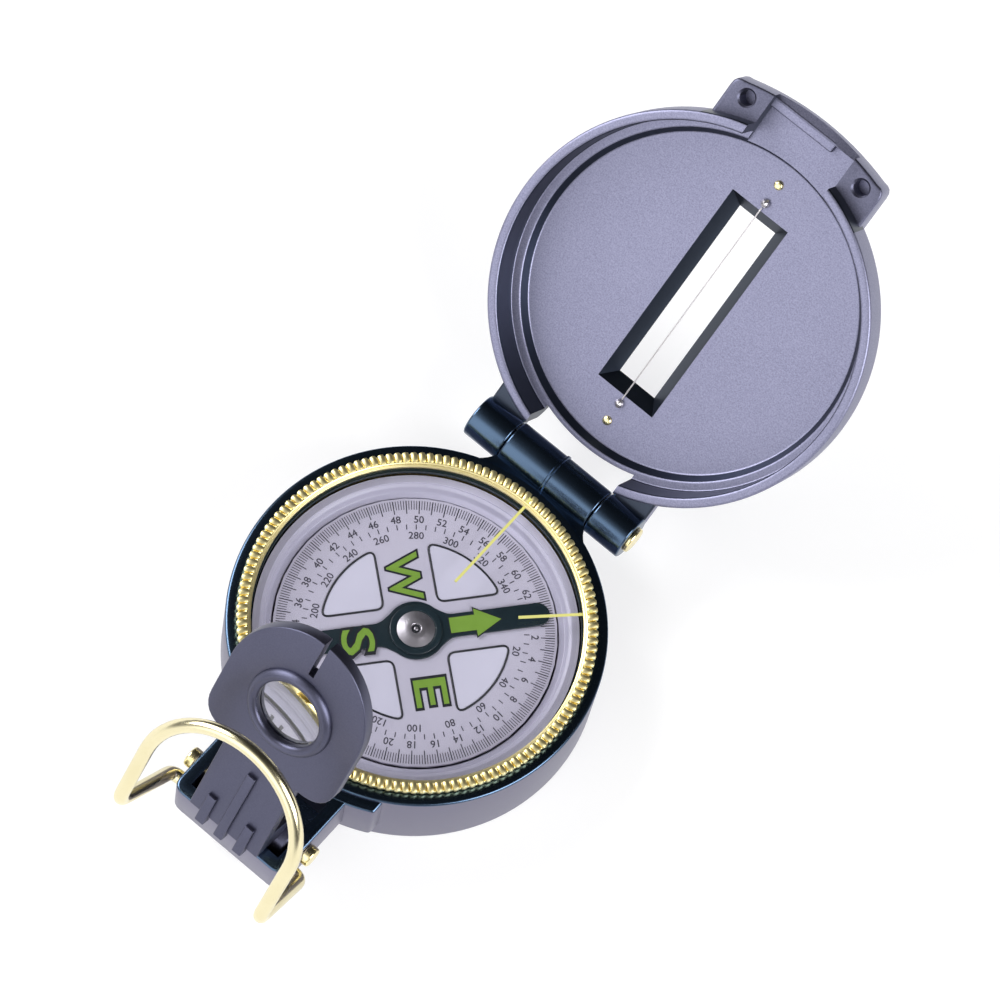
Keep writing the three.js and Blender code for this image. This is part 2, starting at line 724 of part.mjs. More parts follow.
function wirePost(side) {
  const foot = lidFloor - POST_DEPTH + LID_PIECE_GAP;
  const headTop = lidFloor + WIRE_HEIGHT + POST_HEAD_RADIUS;
  return onLidCentre(turned([
    [0, foot],
    [POST_RADIUS, foot],
    [POST_RADIUS, lidFloor + WIRE_HEIGHT - POST_HEAD_RADIUS / 2],
    [POST_HEAD_RADIUS, lidFloor + WIRE_HEIGHT],
    [POST_RADIUS, lidFloor + WIRE_HEIGHT + POST_HEAD_RADIUS / 2],
    [0, headTop],
  ], SMALL_SIDES).translate(0, side * postSpacing, 0));
}

function lidDot(side) {
  const foot = lidFloor - DOT_DEPTH + LID_PIECE_GAP;
  const dot = disc(DOT_RADIUS, foot, lidFloor + DOT_RISE, SMALL_SIDES);
  return onLidCentre(dot.translate(0, side * dotSpacing, 0));
}

function sightWire() {
  const half = postSpacing - POST_HEAD_RADIUS - PIN_GAP;
  const wire = disc(WIRE_RADIUS, -half, half, WIRE_SIDES).rotateX(Math.PI / 2);
  return onLidCentre(wire.translate(0, 0, lidFloor + WIRE_HEIGHT));
}

// Eyepiece, in a frame whose X is its pin, Y runs up the stem and Z points out of its outer face

function eyepiecePlate() {
  const shape = new THREE.Shape();
  const height = DISC_TOP - DISC_CENTRE;
  const meet = Math.asin(STEM_HALF_WIDTH / DISC_HALF_WIDTH);
  shape.moveTo(-STEM_HALF_WIDTH, STEM_START);
  shape.lineTo(STEM_HALF_WIDTH, STEM_START);
  const [from, to] = [-Math.PI / 2 + meet, 1.5 * Math.PI - meet];
  shape.absellipse(0, DISC_CENTRE, DISC_HALF_WIDTH, height, from, to, false, 0);
  const settings = { depth: PLATE_THICKNESS, bevelEnabled: false, curveSegments: MEDIUM_SIDES };
  return solid(new THREE.ExtrudeGeometry(shape, settings).translate(0, 0, plateInner));
}

function eyepieceRib(x, length) {
  const start = STEM_START - RIB_TOOTH;
  const rib = block(
    [x - RIB_WIDTH / 2, start, PLATE_OFFSET - PLATE_THICKNESS / 2],
    [x + RIB_WIDTH / 2, start + length, PLATE_OFFSET + RIB_RISE],
  );
  return solid(rib);
}

function eyepieceBracket() {
  const neck = block(
    [-STEM_HALF_WIDTH, NECK_START, 0],
    [STEM_HALF_WIDTH, NECK_START + NECK_LENGTH, plateInner + PLATE_THICKNESS / 2],
  );
  const sightSlot = block(
    [-SIGHT_SLOT_WIDTH / 2, DISC_TOP - SIGHT_SLOT_LENGTH, plateInner - CUT_MARGIN],
    [SIGHT_SLOT_WIDTH / 2, DISC_TOP + CUT_MARGIN, PLATE_OFFSET + CUT_MARGIN],
  );
  const aperture = disc(LENS_APERTURE, plateInner - CUT_MARGIN, PLATE_OFFSET + CUT_MARGIN, MEDIUM_SIDES);
  const pocket = disc(lensPocket, lensSeat, PLATE_OFFSET + CUT_MARGIN, MEDIUM_SIDES);
  const pinBore = EYE_PIN_RADIUS + RUNNING_GAP;
  return solid(rod(KNUCKLE_RADIUS, -knuckleHalf, knuckleHalf, 0, 0, MEDIUM_SIDES))
    .add(solid(neck))
    .add(eyepiecePlate())
    .add(eyepieceRib(0, LONG_RIB_LENGTH))
    .add(eyepieceRib(-RIB_SPACING, SHORT_RIB_LENGTH))
    .add(eyepieceRib(RIB_SPACING, SHORT_RIB_LENGTH))
    .subtract(solid(sightSlot))
    .subtract(solid(aperture.translate(0, LENS_CENTRE, 0)))
    .subtract(solid(pocket.translate(0, LENS_CENTRE, 0)))
    .subtract(solid(rod(pinBore, -knuckleHalf - CUT_MARGIN, knuckleHalf + CUT_MARGIN, 0, 0, SMALL_SIDES)));
}

// A plano-convex lens, its dome following a circle's sagitta
function eyepieceLens() {
  const bottom = lensSeat + LID_PIECE_GAP;
  const top = bottom + LENS_EDGE;
  const profile = [[0, bottom], [lensRadius, bottom]];
  for (let step = LENS_DOME_STEPS; step >= 0; step -= 1) {
    const share = step / LENS_DOME_STEPS;
    profile.push([lensRadius * share, top + LENS_BULGE * (1 - share ** 2)]);
  }
  return turned(profile, MEDIUM_SIDES).translate(0, LENS_CENTRE, 0);
}

function lensRing() {
  const bottom = PLATE_OFFSET + LID_PIECE_GAP;
  const outer = LENS_APERTURE + LENS_RING_WIDTH;
  const band = ring(LENS_APERTURE, outer, bottom, bottom + LENS_RING_HEIGHT, MEDIUM_SIDES);
  return band.translate(0, LENS_CENTRE, 0);
}

// Bail

// The bail's centre line: pin, leg, bend, upright and round arch, and back down the other side
function bailPath() {
  const at = (x, y, z) => new THREE.Vector3(x, y, z);
  const bendToApex = at(0, bailApexY - bailBendY, bailApexZ - bailBendZ);
  const upright = bendToApex.length() - bailHalfWidth;
  const up = bendToApex.normalize();
  const pivotOut = TONGUE_HALF_WIDTH + BAIL_PIN_OUT;
  const corners = [
    at(bailPinEnd, bailPivotY, bailPivotZ),
    at(pivotOut, bailPivotY, bailPivotZ),
    at(bailHalfWidth, bailBendY, bailBendZ),
    at(bailHalfWidth, bailBendY, bailBendZ).addScaledVector(up, upright),
  ];
  const archCentre = at(0, bailBendY, bailBendZ).addScaledVector(up, upright);
  const arch = [];
  for (let step = 0; step <= CURVE_STEPS * 2; step += 1) {
    const turn = Math.PI * step / (CURVE_STEPS * 2);
    const across = at(bailHalfWidth * Math.cos(turn), 0, 0);
    arch.push(archCentre.clone().add(across).addScaledVector(up, bailHalfWidth * Math.sin(turn)));
  }
  const mirrored = (point) => at(-point.x, point.y, point.z);
  const [pin, out, bend, springing] = corners;
  const path = new THREE.CurvePath();
  const towards = (from, to, length) => {
    const heading = to.clone().sub(from).normalize();
    return from.clone().addScaledVector(heading, length);
  };
  const pinTurn = Math.min(BAIL_CORNER, pin.distanceTo(out) / 2);
  const outBefore = towards(out, pin, pinTurn);
  const outAfter = towards(out, bend, pinTurn);
  const bendBefore = towards(bend, out, BAIL_CORNER);
  const bendAfter = towards(bend, springing, BAIL_CORNER);
  path.add(new THREE.LineCurve3(pin, outBefore));
  path.add(new THREE.QuadraticBezierCurve3(outBefore, out, outAfter));
  path.add(new THREE.LineCurve3(outAfter, bendBefore));
  path.add(new THREE.QuadraticBezierCurve3(bendBefore, bend, bendAfter));
  path.add(new THREE.LineCurve3(bendAfter, springing));
  path.add(new THREE.CatmullRomCurve3(arch));
  path.add(new THREE.LineCurve3(mirrored(springing), mirrored(bendAfter)));
  path.add(new THREE.QuadraticBezierCurve3(mirrored(bendAfter), mirrored(bend), mirrored(bendBefore)));
  path.add(new THREE.LineCurve3(mirrored(bendBefore), mirrored(outAfter)));
  path.add(new THREE.QuadraticBezierCurve3(mirrored(outAfter), mirrored(out), mirrored(outBefore)));
  path.add(new THREE.LineCurve3(mirrored(outBefore), mirrored(pin)));
  return path;
}

function bailWire() {
  const section = new THREE.Shape();
  for (let side = 0; side < BAIL_SIDES; side += 1) {
    const angle = 2 * Math.PI * side / BAIL_SIDES;
    const [x, y] = [BAIL_WIRE_RADIUS * Math.cos(angle), BAIL_WIRE_RADIUS * Math.sin(angle)];
    if (side === 0) section.moveTo(x, y);
    else section.lineTo(x, y);
  }
  const settings = { steps: BAIL_STEPS, extrudePath: bailPath(), bevelEnabled: false };
  return new THREE.ExtrudeGeometry(section, settings);
}

// Assembly

const compass = new THREE.Group();
compass.add(
  piece('base_housing', housing(), painted),
  piece('hinge_pin', hingePin(), brass),
  piece('eyepiece_pin', eyepiecePin(), brass),
  piece('capsule_bowl', capsuleBowl(), clearPlastic),
  piece('capsule_seal', capsuleSeal(), rubber),
  piece('capsule_cover', disc(bowlRadius, coverBottom, coverTop, MEDIUM_SIDES), clearPlastic),
  piece('pivot_post', pivotPost(), brass),
  piece('bezel_snap_ring', ring(snapInner, snapOuter, snapBottom, snapTop, LARGE_SIDES), steel),
  piece('bezel_ring', bezelRing(), brass),
  piece('bezel_crystal', disc(crystalRadius, crystalBottom, crystalTop, LARGE_SIDES), glass),
  piece(
    'crystal_retainer',
    ring(retainerBore, crystalRadius, retainerTop - RETAINER_HEIGHT, retainerTop, LARGE_SIDES),
    blackEnamel,
  ),
  piece('long_luminous_line', luminousLine(LONG_LINE_LENGTH, LONG_LINE_ANGLE), luminous),
  piece('short_luminous_line', luminousLine(SHORT_LINE_LENGTH, SHORT_LINE_ANGLE), luminous),
  piece(
    'compass_card',
    ring(jewelHole, cardRadius, cardTop - CARD_THICKNESS, cardTop, MEDIUM_SIDES),
    cardPlastic,
  ),
  piece('needle_bar', needleBar(), blackEnamel),
  piece(
    'hub_washer',
    ring(jewelHole, HUB_WASHER_RADIUS, washerTop - HUB_WASHER_THICKNESS, washerTop, SMALL_SIDES),
    blackEnamel,
  ),
  piece('hub_cap', hubCap(), steel),
  piece('jewel_cup', jewelCup(), steel),
  piece('bail_wire', bailWire(), brass),
);

const lid = new THREE.Group();
lid.position.set(0, hingeReach, hingeHeight);
lid.rotation.x = THREE.MathUtils.degToRad(LID_OPEN_ANGLE);
lid.add(
  piece('lid_shell', lidShell(), painted),
  piece('sight_wire', sightWire(), steel),
  piece('wire_post_rear', wirePost(-1), steel),
  piece('wire_post_front', wirePost(1), steel),
  piece('lid_dot_rear', lidDot(-1), brass),
  piece('lid_dot_front', lidDot(1), brass),
);
compass.add(lid);

const eyepiece = new THREE.Group();
eyepiece.position.set(0, eyePinY, eyePinZ);
eyepiece.rotation.x = THREE.MathUtils.degToRad(EYEPIECE_ANGLE);
eyepiece.add(
  piece('eyepiece_bracket', eyepieceBracket(), paintedDark),
  piece('eyepiece_lens', eyepieceLens(), glass),
  piece('lens_ring', lensRing(), paintedDark),
);
compass.add(eyepiece);

export default compass;
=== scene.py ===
"""Looks of a folding magnetic compass: housing, bezel, card, sighting lid, eyepiece and bail.

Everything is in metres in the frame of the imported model: +Z up, +Y towards the lid hinge, the origin in
the middle of the housing's flat underside.
"""

import logging
import math
from dataclasses import dataclass, field
from enum import Enum, IntEnum
from itertools import pairwise
from typing import Callable, Iterable, Sequence

import bpy
from mathutils import Matrix, Vector


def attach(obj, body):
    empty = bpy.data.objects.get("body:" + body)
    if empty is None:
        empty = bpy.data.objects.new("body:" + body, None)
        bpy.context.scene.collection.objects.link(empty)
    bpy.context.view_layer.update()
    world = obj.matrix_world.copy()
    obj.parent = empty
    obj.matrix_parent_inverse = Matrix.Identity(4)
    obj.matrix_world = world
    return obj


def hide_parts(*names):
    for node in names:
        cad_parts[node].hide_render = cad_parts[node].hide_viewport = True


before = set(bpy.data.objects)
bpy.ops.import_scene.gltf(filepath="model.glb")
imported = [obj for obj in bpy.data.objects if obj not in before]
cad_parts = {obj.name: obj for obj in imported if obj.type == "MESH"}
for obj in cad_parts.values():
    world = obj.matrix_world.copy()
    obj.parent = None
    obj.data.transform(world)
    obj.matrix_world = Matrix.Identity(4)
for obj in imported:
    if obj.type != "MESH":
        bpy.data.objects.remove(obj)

LOG = logging.getLogger("compass")
MM = 0.001
FULL_TURN = 2.0 * math.pi
QUARTER_TURN = math.pi / 2
FULL_DEGREES = 360.0
OFF_TURN = math.radians(0.7)
POLE = 0.001 * MM
POLE_WELD = 2.5 * POLE
WELD = 0.0005 * MM
ROUND = 160
FINE = 64
SMALL = 32
SMOOTH_ANGLE = math.radians(32.0)
FLAT_ANGLE = math.radians(0.2)
LETTER_STEPS = 3
MOST_FINISHES = 4
MIDDLE = 0.5
EDGE_ANGLE = math.radians(40.0)
EDGE_STEPS = 3
CORNER_STEPS = 4
HALF_DEGREES = 180.0
QUARTER_DEGREES = 90.0
HINGE_Y = 31.41 * MM
HINGE_Z = 14.28 * MM
BARREL_RADIUS = 3.5 * MM
EYE_PIN_Y = -36.5 * MM
EYE_PIN_Z = 12.0 * MM
BAIL_Y = -39.7 * MM
BAIL_Z = 10.85 * MM
BAR_TOP = 11.68 * MM
NORTH = 50.0

Pair = tuple[float, float]
Triple = tuple[float, float, float]
Colour = tuple[float, float, float]


class Cut(Enum):
    """How a second body changes the first."""

    JOIN = "UNION"
    REMOVE = "DIFFERENCE"


class Side(Enum):
    """The left and right of the object, seen from the eyepiece end."""

    LEFT = -1
    RIGHT = 1


class End(Enum):
    """The hinge end and the latch end of the lid."""

    REAR = -1
    FRONT = 1


class Coat(IntEnum):
    """The lid's paints, in the order in which its piece holds them."""

    # SMOOTH, DARK and LATCH are painted shade: darker copies of the lid's paint.
    GRAINED = 0
    SMOOTH = 1
    DARK = 2
    LATCH = 3


class Bench:
    """Modelling steps, each on one piece at a time."""

    @staticmethod
    def clear() -> None:
        """Deselect every object."""
        bpy.ops.object.select_all(action="DESELECT")

    @staticmethod
    def only(piece: bpy.types.Object) -> None:
        """Select one object and make it active."""
        Bench.clear()
        piece.select_set(True)
        bpy.context.view_layer.objects.active = piece

    @staticmethod
    def edit(piece: bpy.types.Object) -> None:
        """Enter edit mode on one object with everything selected."""
        Bench.only(piece)
        bpy.ops.object.mode_set(mode="EDIT")
        bpy.ops.mesh.select_all(action="SELECT")

    @staticmethod
    def done() -> bpy.types.Object:
        """Leave edit mode.

        Returns:
            The object that was edited.
        """
        bpy.ops.object.mode_set(mode="OBJECT")
        return bpy.context.object

    @staticmethod
    def close_up() -> bpy.types.Object:
        """Merge doubled points, turn the faces outwards and leave edit mode.

        Returns:
            The object that was edited.
        """
        bpy.ops.mesh.select_all(action="SELECT")
        bpy.ops.mesh.remove_doubles(threshold=WELD)
        bpy.ops.mesh.normals_make_consistent(inside=False)
        return Bench.done()

    @staticmethod
    def place(piece: bpy.types.Object, matrix: Matrix) -> bpy.types.Object:
        """Put a place into a piece's mesh.

        Args:
            piece: The object to place.
            matrix: Its place and turn in the frame.

        Returns:
            The same object, at the origin and unturned.
        """
        piece.matrix_world = matrix
        Bench.only(piece)
        bpy.ops.object.transform_apply(location=True, rotation=True, scale=True)
        return piece

    @staticmethod
    def combine(piece: bpy.types.Object, tool: bpy.types.Object, cut: Cut) -> bpy.types.Object:
        """Join a second body to a piece, or cut it away, and delete the second body.

        Args:
            piece: The piece that is kept.
            tool: The body that joins or cuts it.
            cut: Which of the two is done.

        Returns:
            The changed piece.
        """
        Bench.only(piece)
        step = piece.modifiers.new("combine", "BOOLEAN")
        step.operation = cut.value
        step.solver = "EXACT"
        step.object = tool
        bpy.ops.object.modifier_apply(modifier=step.name)
        bpy.data.objects.remove(tool)
        return piece

    @staticmethod
    def soften(piece: bpy.types.Object, width: float, segments: int = EDGE_STEPS) -> None:
        """Round a piece's sharp edges.

        Args:
            piece: The piece to soften.
            width: How far the rounding reaches from the edge.
            segments: Steps across the rounding.
        """
        Bench.edit(piece)
        bpy.ops.mesh.remove_doubles(threshold=WELD)
        bpy.ops.mesh.dissolve_limited(angle_limit=FLAT_ANGLE)
        Bench.done()
        step = piece.modifiers.new("soften", "BEVEL")
        step.width = width
        step.segments = segments
        step.limit_method = "ANGLE"
        step.angle_limit = EDGE_ANGLE
        step.miter_outer = "MITER_ARC"
        bpy.ops.object.modifier_apply(modifier=step.name)

    @staticmethod
    def smooth(piece: bpy.types.Object) -> bpy.types.Object:
        """Shade a piece smooth except across sharp edges."""
        Bench.only(piece)
        bpy.ops.object.shade_smooth_by_angle(angle=SMOOTH_ANGLE)
        return piece

    @staticmethod
    def gather(name: str, parts: Sequence[bpy.types.Object]) -> bpy.types.Object:
        """Make several objects one piece.

        Args:
            name: The piece's name.
            parts: The objects, which are used up.

        Returns:
            The piece.
        """
        Bench.only(parts[0])
        for part in parts:
            part.select_set(True)
        bpy.ops.object.join()
        parts[0].name = name
        return parts[0]

    @staticmethod
    def turned(name: str, profile: Sequence[Pair], sides: int = ROUND) -> bpy.types.Object:
        """Turn a profile about Z by extruding one ring of edges from point to point.

        Args:
            name: The piece's name.
            profile: Radius and height pairs; a radius of 0 closes on the axis.
            sides: Points round each ring.

        Returns:
            The turned piece.
        """
        rings = [(max(radius, POLE), height) for radius, height in profile]
        Bench.clear()
        bpy.ops.mesh.primitive_circle_add(vertices=sides, radius=rings[0][0])
        piece = bpy.context.object
        piece.name = name
        Bench.edit(piece)
        bpy.ops.transform.translate(value=(0.0, 0.0, rings[0][1]))
        for (radius, height), (next_radius, next_height) in pairwise(rings):
            rise = {"value": (0.0, 0.0, next_height - height)}
            bpy.ops.mesh.extrude_region_move(TRANSFORM_OT_translate=rise)
            grow = next_radius / radius
            bpy.ops.transform.resize(value=(grow, grow, 1.0), center_override=(0.0, 0.0, 0.0))
        bpy.ops.mesh.select_all(action="SELECT")
        bpy.ops.mesh.remove_doubles(threshold=POLE_WELD)
        return Bench.close_up()

    @staticmethod
    def block(name: str, low: Triple, high: Triple) -> bpy.types.Object:
        """Make a block between two corners.

        Args:
            name: The piece's name.
            low: Its lowest corner.
            high: Its highest corner.

        Returns:
            The block.
        """
        Bench.clear()
        bpy.ops.mesh.primitive_cube_add(size=1.0)
        piece = bpy.context.object
        piece.name = name
        size = [b - a for a, b in zip(low, high)]
        centre = [(a + b) / 2 for a, b in zip(low, high)]
        Bench.edit(piece)
        bpy.ops.transform.resize(value=size, center_override=(0.0, 0.0, 0.0))
        bpy.ops.transform.translate(value=centre)
        return Bench.done()

    @staticmethod
    def prism(name: str, outline: Sequence[Pair], bottom: float, top: float) -> bpy.types.Object:
        """Raise a flat outline between two heights.

        Args:
            name: The piece's name.
            outline: Points round the outline.
            bottom: The height of its underside.
            top: The height of its upper side.

        Returns:
            The raised piece.
        """
        Bench.clear()
        bpy.ops.mesh.primitive_circle_add(vertices=len(outline), fill_type="NGON")
        piece = bpy.context.object
        piece.name = name
        for point, (x, y) in zip(piece.data.vertices, outline):
            point.co = (x, y, bottom)
        Bench.edit(piece)
        bpy.ops.mesh.extrude_region_move(TRANSFORM_OT_translate={"value": (0.0, 0.0, top - bottom)})
        return Bench.close_up()

    @staticmethod
    def wall(name: str, outline: Sequence[Pair], left: float, right: float) -> bpy.types.Object:
        """Raise an outline that is drawn in Y and Z between two places along X.

        Args:
            name: The piece's name.
            outline: Points round the outline.
            left: Where it begins.
            right: Where it ends.

        Returns:
            The raised piece.
        """
        across = Matrix(((0, 0, 1, 0), (1, 0, 0, 0), (0, 1, 0, 0), (0, 0, 0, 1)))
        return Bench.place(Bench.prism(name, outline, left, right), across)

    @staticmethod
    def rod(name: str, profile: Sequence[Pair], centre: Triple, sides: int = SMALL) -> bpy.types.Object:
        """Turn a profile about a line along X.

        Args:
            name: The piece's name.
            profile: Radius and distance along X.
            centre: A point on the line, from which the distances count.
            sides: Points round each ring.

        Returns:
            The turned piece.
        """
        piece = Bench.turned(name, profile, sides)
        return Bench.place(piece, Matrix.Translation(centre) @ Matrix.Rotation(QUARTER_TURN, 4, "Y"))

    @staticmethod
    def drill(radius: float, left: float, right: float, centre: Triple = (0, 0, 0)) -> bpy.types.Object:
        """Make a round cutter along X, turned a little so that its points miss other pieces' edges.

        Args:
            radius: Its radius.
            left: Where it begins, counted from the centre.
            right: Where it ends.
            centre: A point on its axis.

        Returns:
            The cutter.
        """
        cutter = Bench.turned("drill", [(0.0, left), (radius, left), (radius, right), (0.0, right)], SMALL)
        along = Matrix.Rotation(QUARTER_TURN, 4, "Y") @ Matrix.Rotation(OFF_TURN, 4, "Z")
        return Bench.place(cutter, Matrix.Translation(centre) @ along)

    @staticmethod
    def around(piece: bpy.types.Object, count: int) -> bpy.types.Object:
        """Copy a piece round Z.

        Args:
            piece: The piece, in its first place.
            count: How many there are in the circle.

        Returns:
            The whole circle as one piece.
        """
        Bench.edit(piece)
        turn = FULL_TURN * (count - 1) / count
        bpy.ops.mesh.spin(steps=count - 1, angle=turn, dupli=True, center=(0, 0, 0), axis=(0, 0, 1))
        return Bench.done()

    @staticmethod
    def tube(
        name: str, path: Sequence[Triple], radius: float, smoothness: int, closed: bool = False,
    ) -> bpy.types.Object:
        """Run a round wire along a line of points.

        Args:
            name: The piece's name.
            path: The points.
            radius: The wire's radius.
            smoothness: How finely its section is divided.
            closed: Whether the line runs back to its first point.

        Returns:
            The wire as a mesh.
        """
        curve = bpy.data.curves.new(name, "CURVE")
        curve.dimensions = "3D"
        curve.bevel_depth = radius
        curve.bevel_resolution = smoothness
        curve.use_fill_caps = not closed
        spline = curve.splines.new("POLY")
        spline.points.add(len(path) - 1)
        spline.use_cyclic_u = closed
        for point, place in zip(spline.points, path):
            point.co = (*place, 1.0)
        wire = bpy.data.objects.new(name, curve)
        bpy.context.scene.collection.objects.link(wire)
        Bench.only(wire)
        bpy.ops.object.convert(target="MESH")
        return bpy.context.object

    @staticmethod
    def mark(piece: bpy.types.Object, chosen: Callable[[Vector, Vector], int]) -> None:
        """Give each face the number of its finish.

        Args:
            piece: The piece.
            chosen: Works the number out from a face's middle and its facing.
        """
        while len(piece.data.materials) < MOST_FINISHES:
            piece.data.materials.append(None)
        for face in piece.data.polygons:
            face.material_index = int(chosen(face.center, face.normal))

    @staticmethod
    def lettering(words: str, height: float, thickness: float, weight: float = 0.0) -> bpy.types.Object:
        """Write flat raised words, centred on the origin.

        Args:
            words: What is written.
            height: The size of the letters.
            thickness: How far they stand up.
            weight: How far the strokes are fattened.

        Returns:
            The words as a mesh.
        """
        Bench.clear()
        bpy.ops.object.text_add()
        text = bpy.context.object
        text.data.body = words
        text.data.size = height
        text.data.align_x = "CENTER"
        text.data.align_y = "CENTER"
        text.data.resolution_u = LETTER_STEPS
        text.data.extrude = thickness / 2
        text.data.offset = weight
        bpy.ops.object.convert(target="MESH")
        return bpy.context.object


def rounded(
    corners: Sequence[Sequence[float]], steps: int = CORNER_STEPS, closed: bool = False,
) -> list[tuple]:
    """Round the corners of a line of points.

    Args:
        corners: Each point's coordinates, then the length its rounding takes from both neighbours.
        steps: Points along each rounding.
        closed: Whether the line runs back to its first point.

    Returns:
        The points of the rounded line.
    """
    points = [Vector(corner[:-1]) for corner in corners]
    last = len(points) - 1
    line: list[tuple] = []
    for index, (here, corner) in enumerate(zip(points, corners)):
        reach = corner[-1]
        if reach == 0.0 or (index in (0, last) and not closed):
            line.append(tuple(here))
            continue
        start = here + (points[index - 1] - here).normalized() * reach
        end = here + (points[(index + 1) % len(points)] - here).normalized() * reach
        for step in range(steps + 1):
            t = step / steps
            line.append(tuple(start * (1 - t) ** 2 + here * 2 * t * (1 - t) + end * t**2))
    return line


def arc(centre: Pair, radius: float, start: float, end: float, steps: int) -> list[Pair]:
    """Points along an arc.

    Args:
        centre: The arc's centre.
        radius: Its radius.
        start: Its first angle in degrees.
        end: Its last angle in degrees.
        steps: Spaces between the points.

    Returns:
        The points, both ends included.
    """
    angles = [math.radians(start + (end - start) * step / steps) for step in range(steps + 1)]
    return [(centre[0] + radius * math.cos(a), centre[1] + radius * math.sin(a)) for a in angles]


class Value:
    """A shader value: arithmetic on it adds the nodes that work it out."""

    def __init__(self, tree: bpy.types.NodeTree, socket: bpy.types.NodeSocket) -> None:
        """Wrap one output socket of a node tree."""
        self.tree = tree
        self.socket = socket

    def _math(self, operation: str, first: "Value | float", second: "Value | float") -> "Value":
        """Add a Math node.

        Args:
            operation: The node's operation.
            first: Its first value.
            second: Its second value.

        Returns:
            The node's result.
        """
        node = self.tree.nodes.new("ShaderNodeMath")
        node.operation = operation
        for socket, value in zip(node.inputs, (first, second)):
            if isinstance(value, Value):
                self.tree.links.new(value.socket, socket)
            else:
                socket.default_value = value
        return Value(self.tree, node.outputs[0])

    def __add__(self, other: "Value | float") -> "Value":
        """This value plus another."""
        return self._math("ADD", self, other)

    __radd__ = __add__

    def __sub__(self, other: "Value | float") -> "Value":
        """This value less another."""
        return self._math("SUBTRACT", self, other)

    def __rsub__(self, other: "Value | float") -> "Value":
        """Another value less this one."""
        return self._math("SUBTRACT", other, self)

    def __mul__(self, other: "Value | float") -> "Value":
        """This value times another."""
        return self._math("MULTIPLY", self, other)

    __rmul__ = __mul__


class Finish:
    """One material and its node tree."""

    def __init__(self, name: str) -> None:
        """Start a material with an empty node tree."""
        self.material = bpy.data.materials.new(name)
        self.material.use_nodes = True
        self.tree = self.material.node_tree
        self.tree.nodes.clear()

    def node(
        self, kind: str, settings: dict | None = None, inputs: dict | None = None, out: int | str = 0,
    ) -> Value:
        """Add any node.

        Args:
            kind: The node's type, without the ShaderNode prefix.
            settings: Attributes of the node, and "stops" for a ramp's stops.
            inputs: Values or links by socket name or number.
            out: Which output to give back.

        Returns:
            That output.
        """
        node = self.tree.nodes.new("ShaderNode" + kind)
        for key, setting in (settings or {}).items():
            if key == "stops":
                for element, (position, colour) in zip(self._stops(node, len(setting)), setting):
                    element.position = position
                    element.color = colour
            else:
                setattr(node, key, setting)
        for key, value in (inputs or {}).items():
            if isinstance(value, Value):
                self.tree.links.new(value.socket, node.inputs[key])
            else:
                node.inputs[key].default_value = value
        return Value(self.tree, node.outputs[out])

    @staticmethod
    def _stops(node: bpy.types.Node, count: int) -> Iterable[bpy.types.ColorRampElement]:
        """A ramp's stops, made as many as are needed."""
        while len(node.color_ramp.elements) < count:
            node.color_ramp.elements.new(MIDDLE)
        return node.color_ramp.elements

    def place(self) -> Value:
        """The place on the object's surface, in the object's frame."""
        return self.node("TexCoord", out="Object")

    def noise(self, scale: float, detail: float = 2.0) -> Value:
        """Soft random variation over the surface.

        Args:
            scale: Patches in a metre.
            detail: Finer layers.

        Returns:
            A value about the middle of 0 and 1.
        """
        inputs = {"Vector": self.place(), "Scale": scale, "Detail": detail}
        return self.node("TexNoise", inputs=inputs, out="Fac")

    def blend(self, share: Value, low: Colour, high: Colour) -> Value:
        """A colour between two, by a share."""
        stops = [(0.0, (*low, 1.0)), (1.0, (*high, 1.0))]
        return self.node("ValToRGB", {"stops": stops}, {"Fac": share})

    def bump(self, height: Value, depth: float) -> Value:
        """A normal tilted by a height over the surface."""
        return self.node("Bump", inputs={"Height": height, "Distance": depth, "Strength": 1.0})

    def shader(self, **inputs: "Value | float | tuple") -> Value:
        """A principled shader; an underscore in a name stands for a space."""
        named = {key.replace("_", " "): value for key, value in inputs.items()}
        return self.node("BsdfPrincipled", inputs=named)

    def output(self, surface: Value) -> bpy.types.Material:
        """Give the material its surface.

        Args:
            surface: The shader.

        Returns:
            The material.
        """
        end = self.tree.nodes.new("ShaderNodeOutputMaterial")
        self.tree.links.new(surface.socket, end.inputs["Surface"])
        return self.material


@dataclass(frozen=True)
class SatinPaint:
    """Metallic satin paint on a casting: fine grain, soft clouds and a little rubbing."""

    name: str
    colour: Colour
    shade: Colour
    roughness: float
    grain: float
    speckle: float = 0.6
    grain_scale: float = 4800.0
    grain_rough: float = 0.08
    cloud_scale: float = 90.0
    cloud_detail: float = 3.0
    cloud_share: float = 0.5
    cloud_rough: float = 0.1

    def make(self) -> bpy.types.Material:
        """Build the paint's material."""
        finish = Finish(self.name)
        grain = finish.noise(self.grain_scale)
        clouds = finish.noise(self.cloud_scale, self.cloud_detail)
        share = (grain - MIDDLE) * self.speckle + (clouds - MIDDLE) * self.cloud_share + MIDDLE
        colour = finish.blend(share, self.shade, self.colour)
        least = self.roughness - (self.cloud_rough + self.grain_rough) * MIDDLE
        rough = clouds * self.cloud_rough + grain * self.grain_rough + least
        normal = finish.bump(grain, self.grain)
        return finish.output(finish.shader(Base_Color=colour, Metallic=1.0, Roughness=rough, Normal=normal))


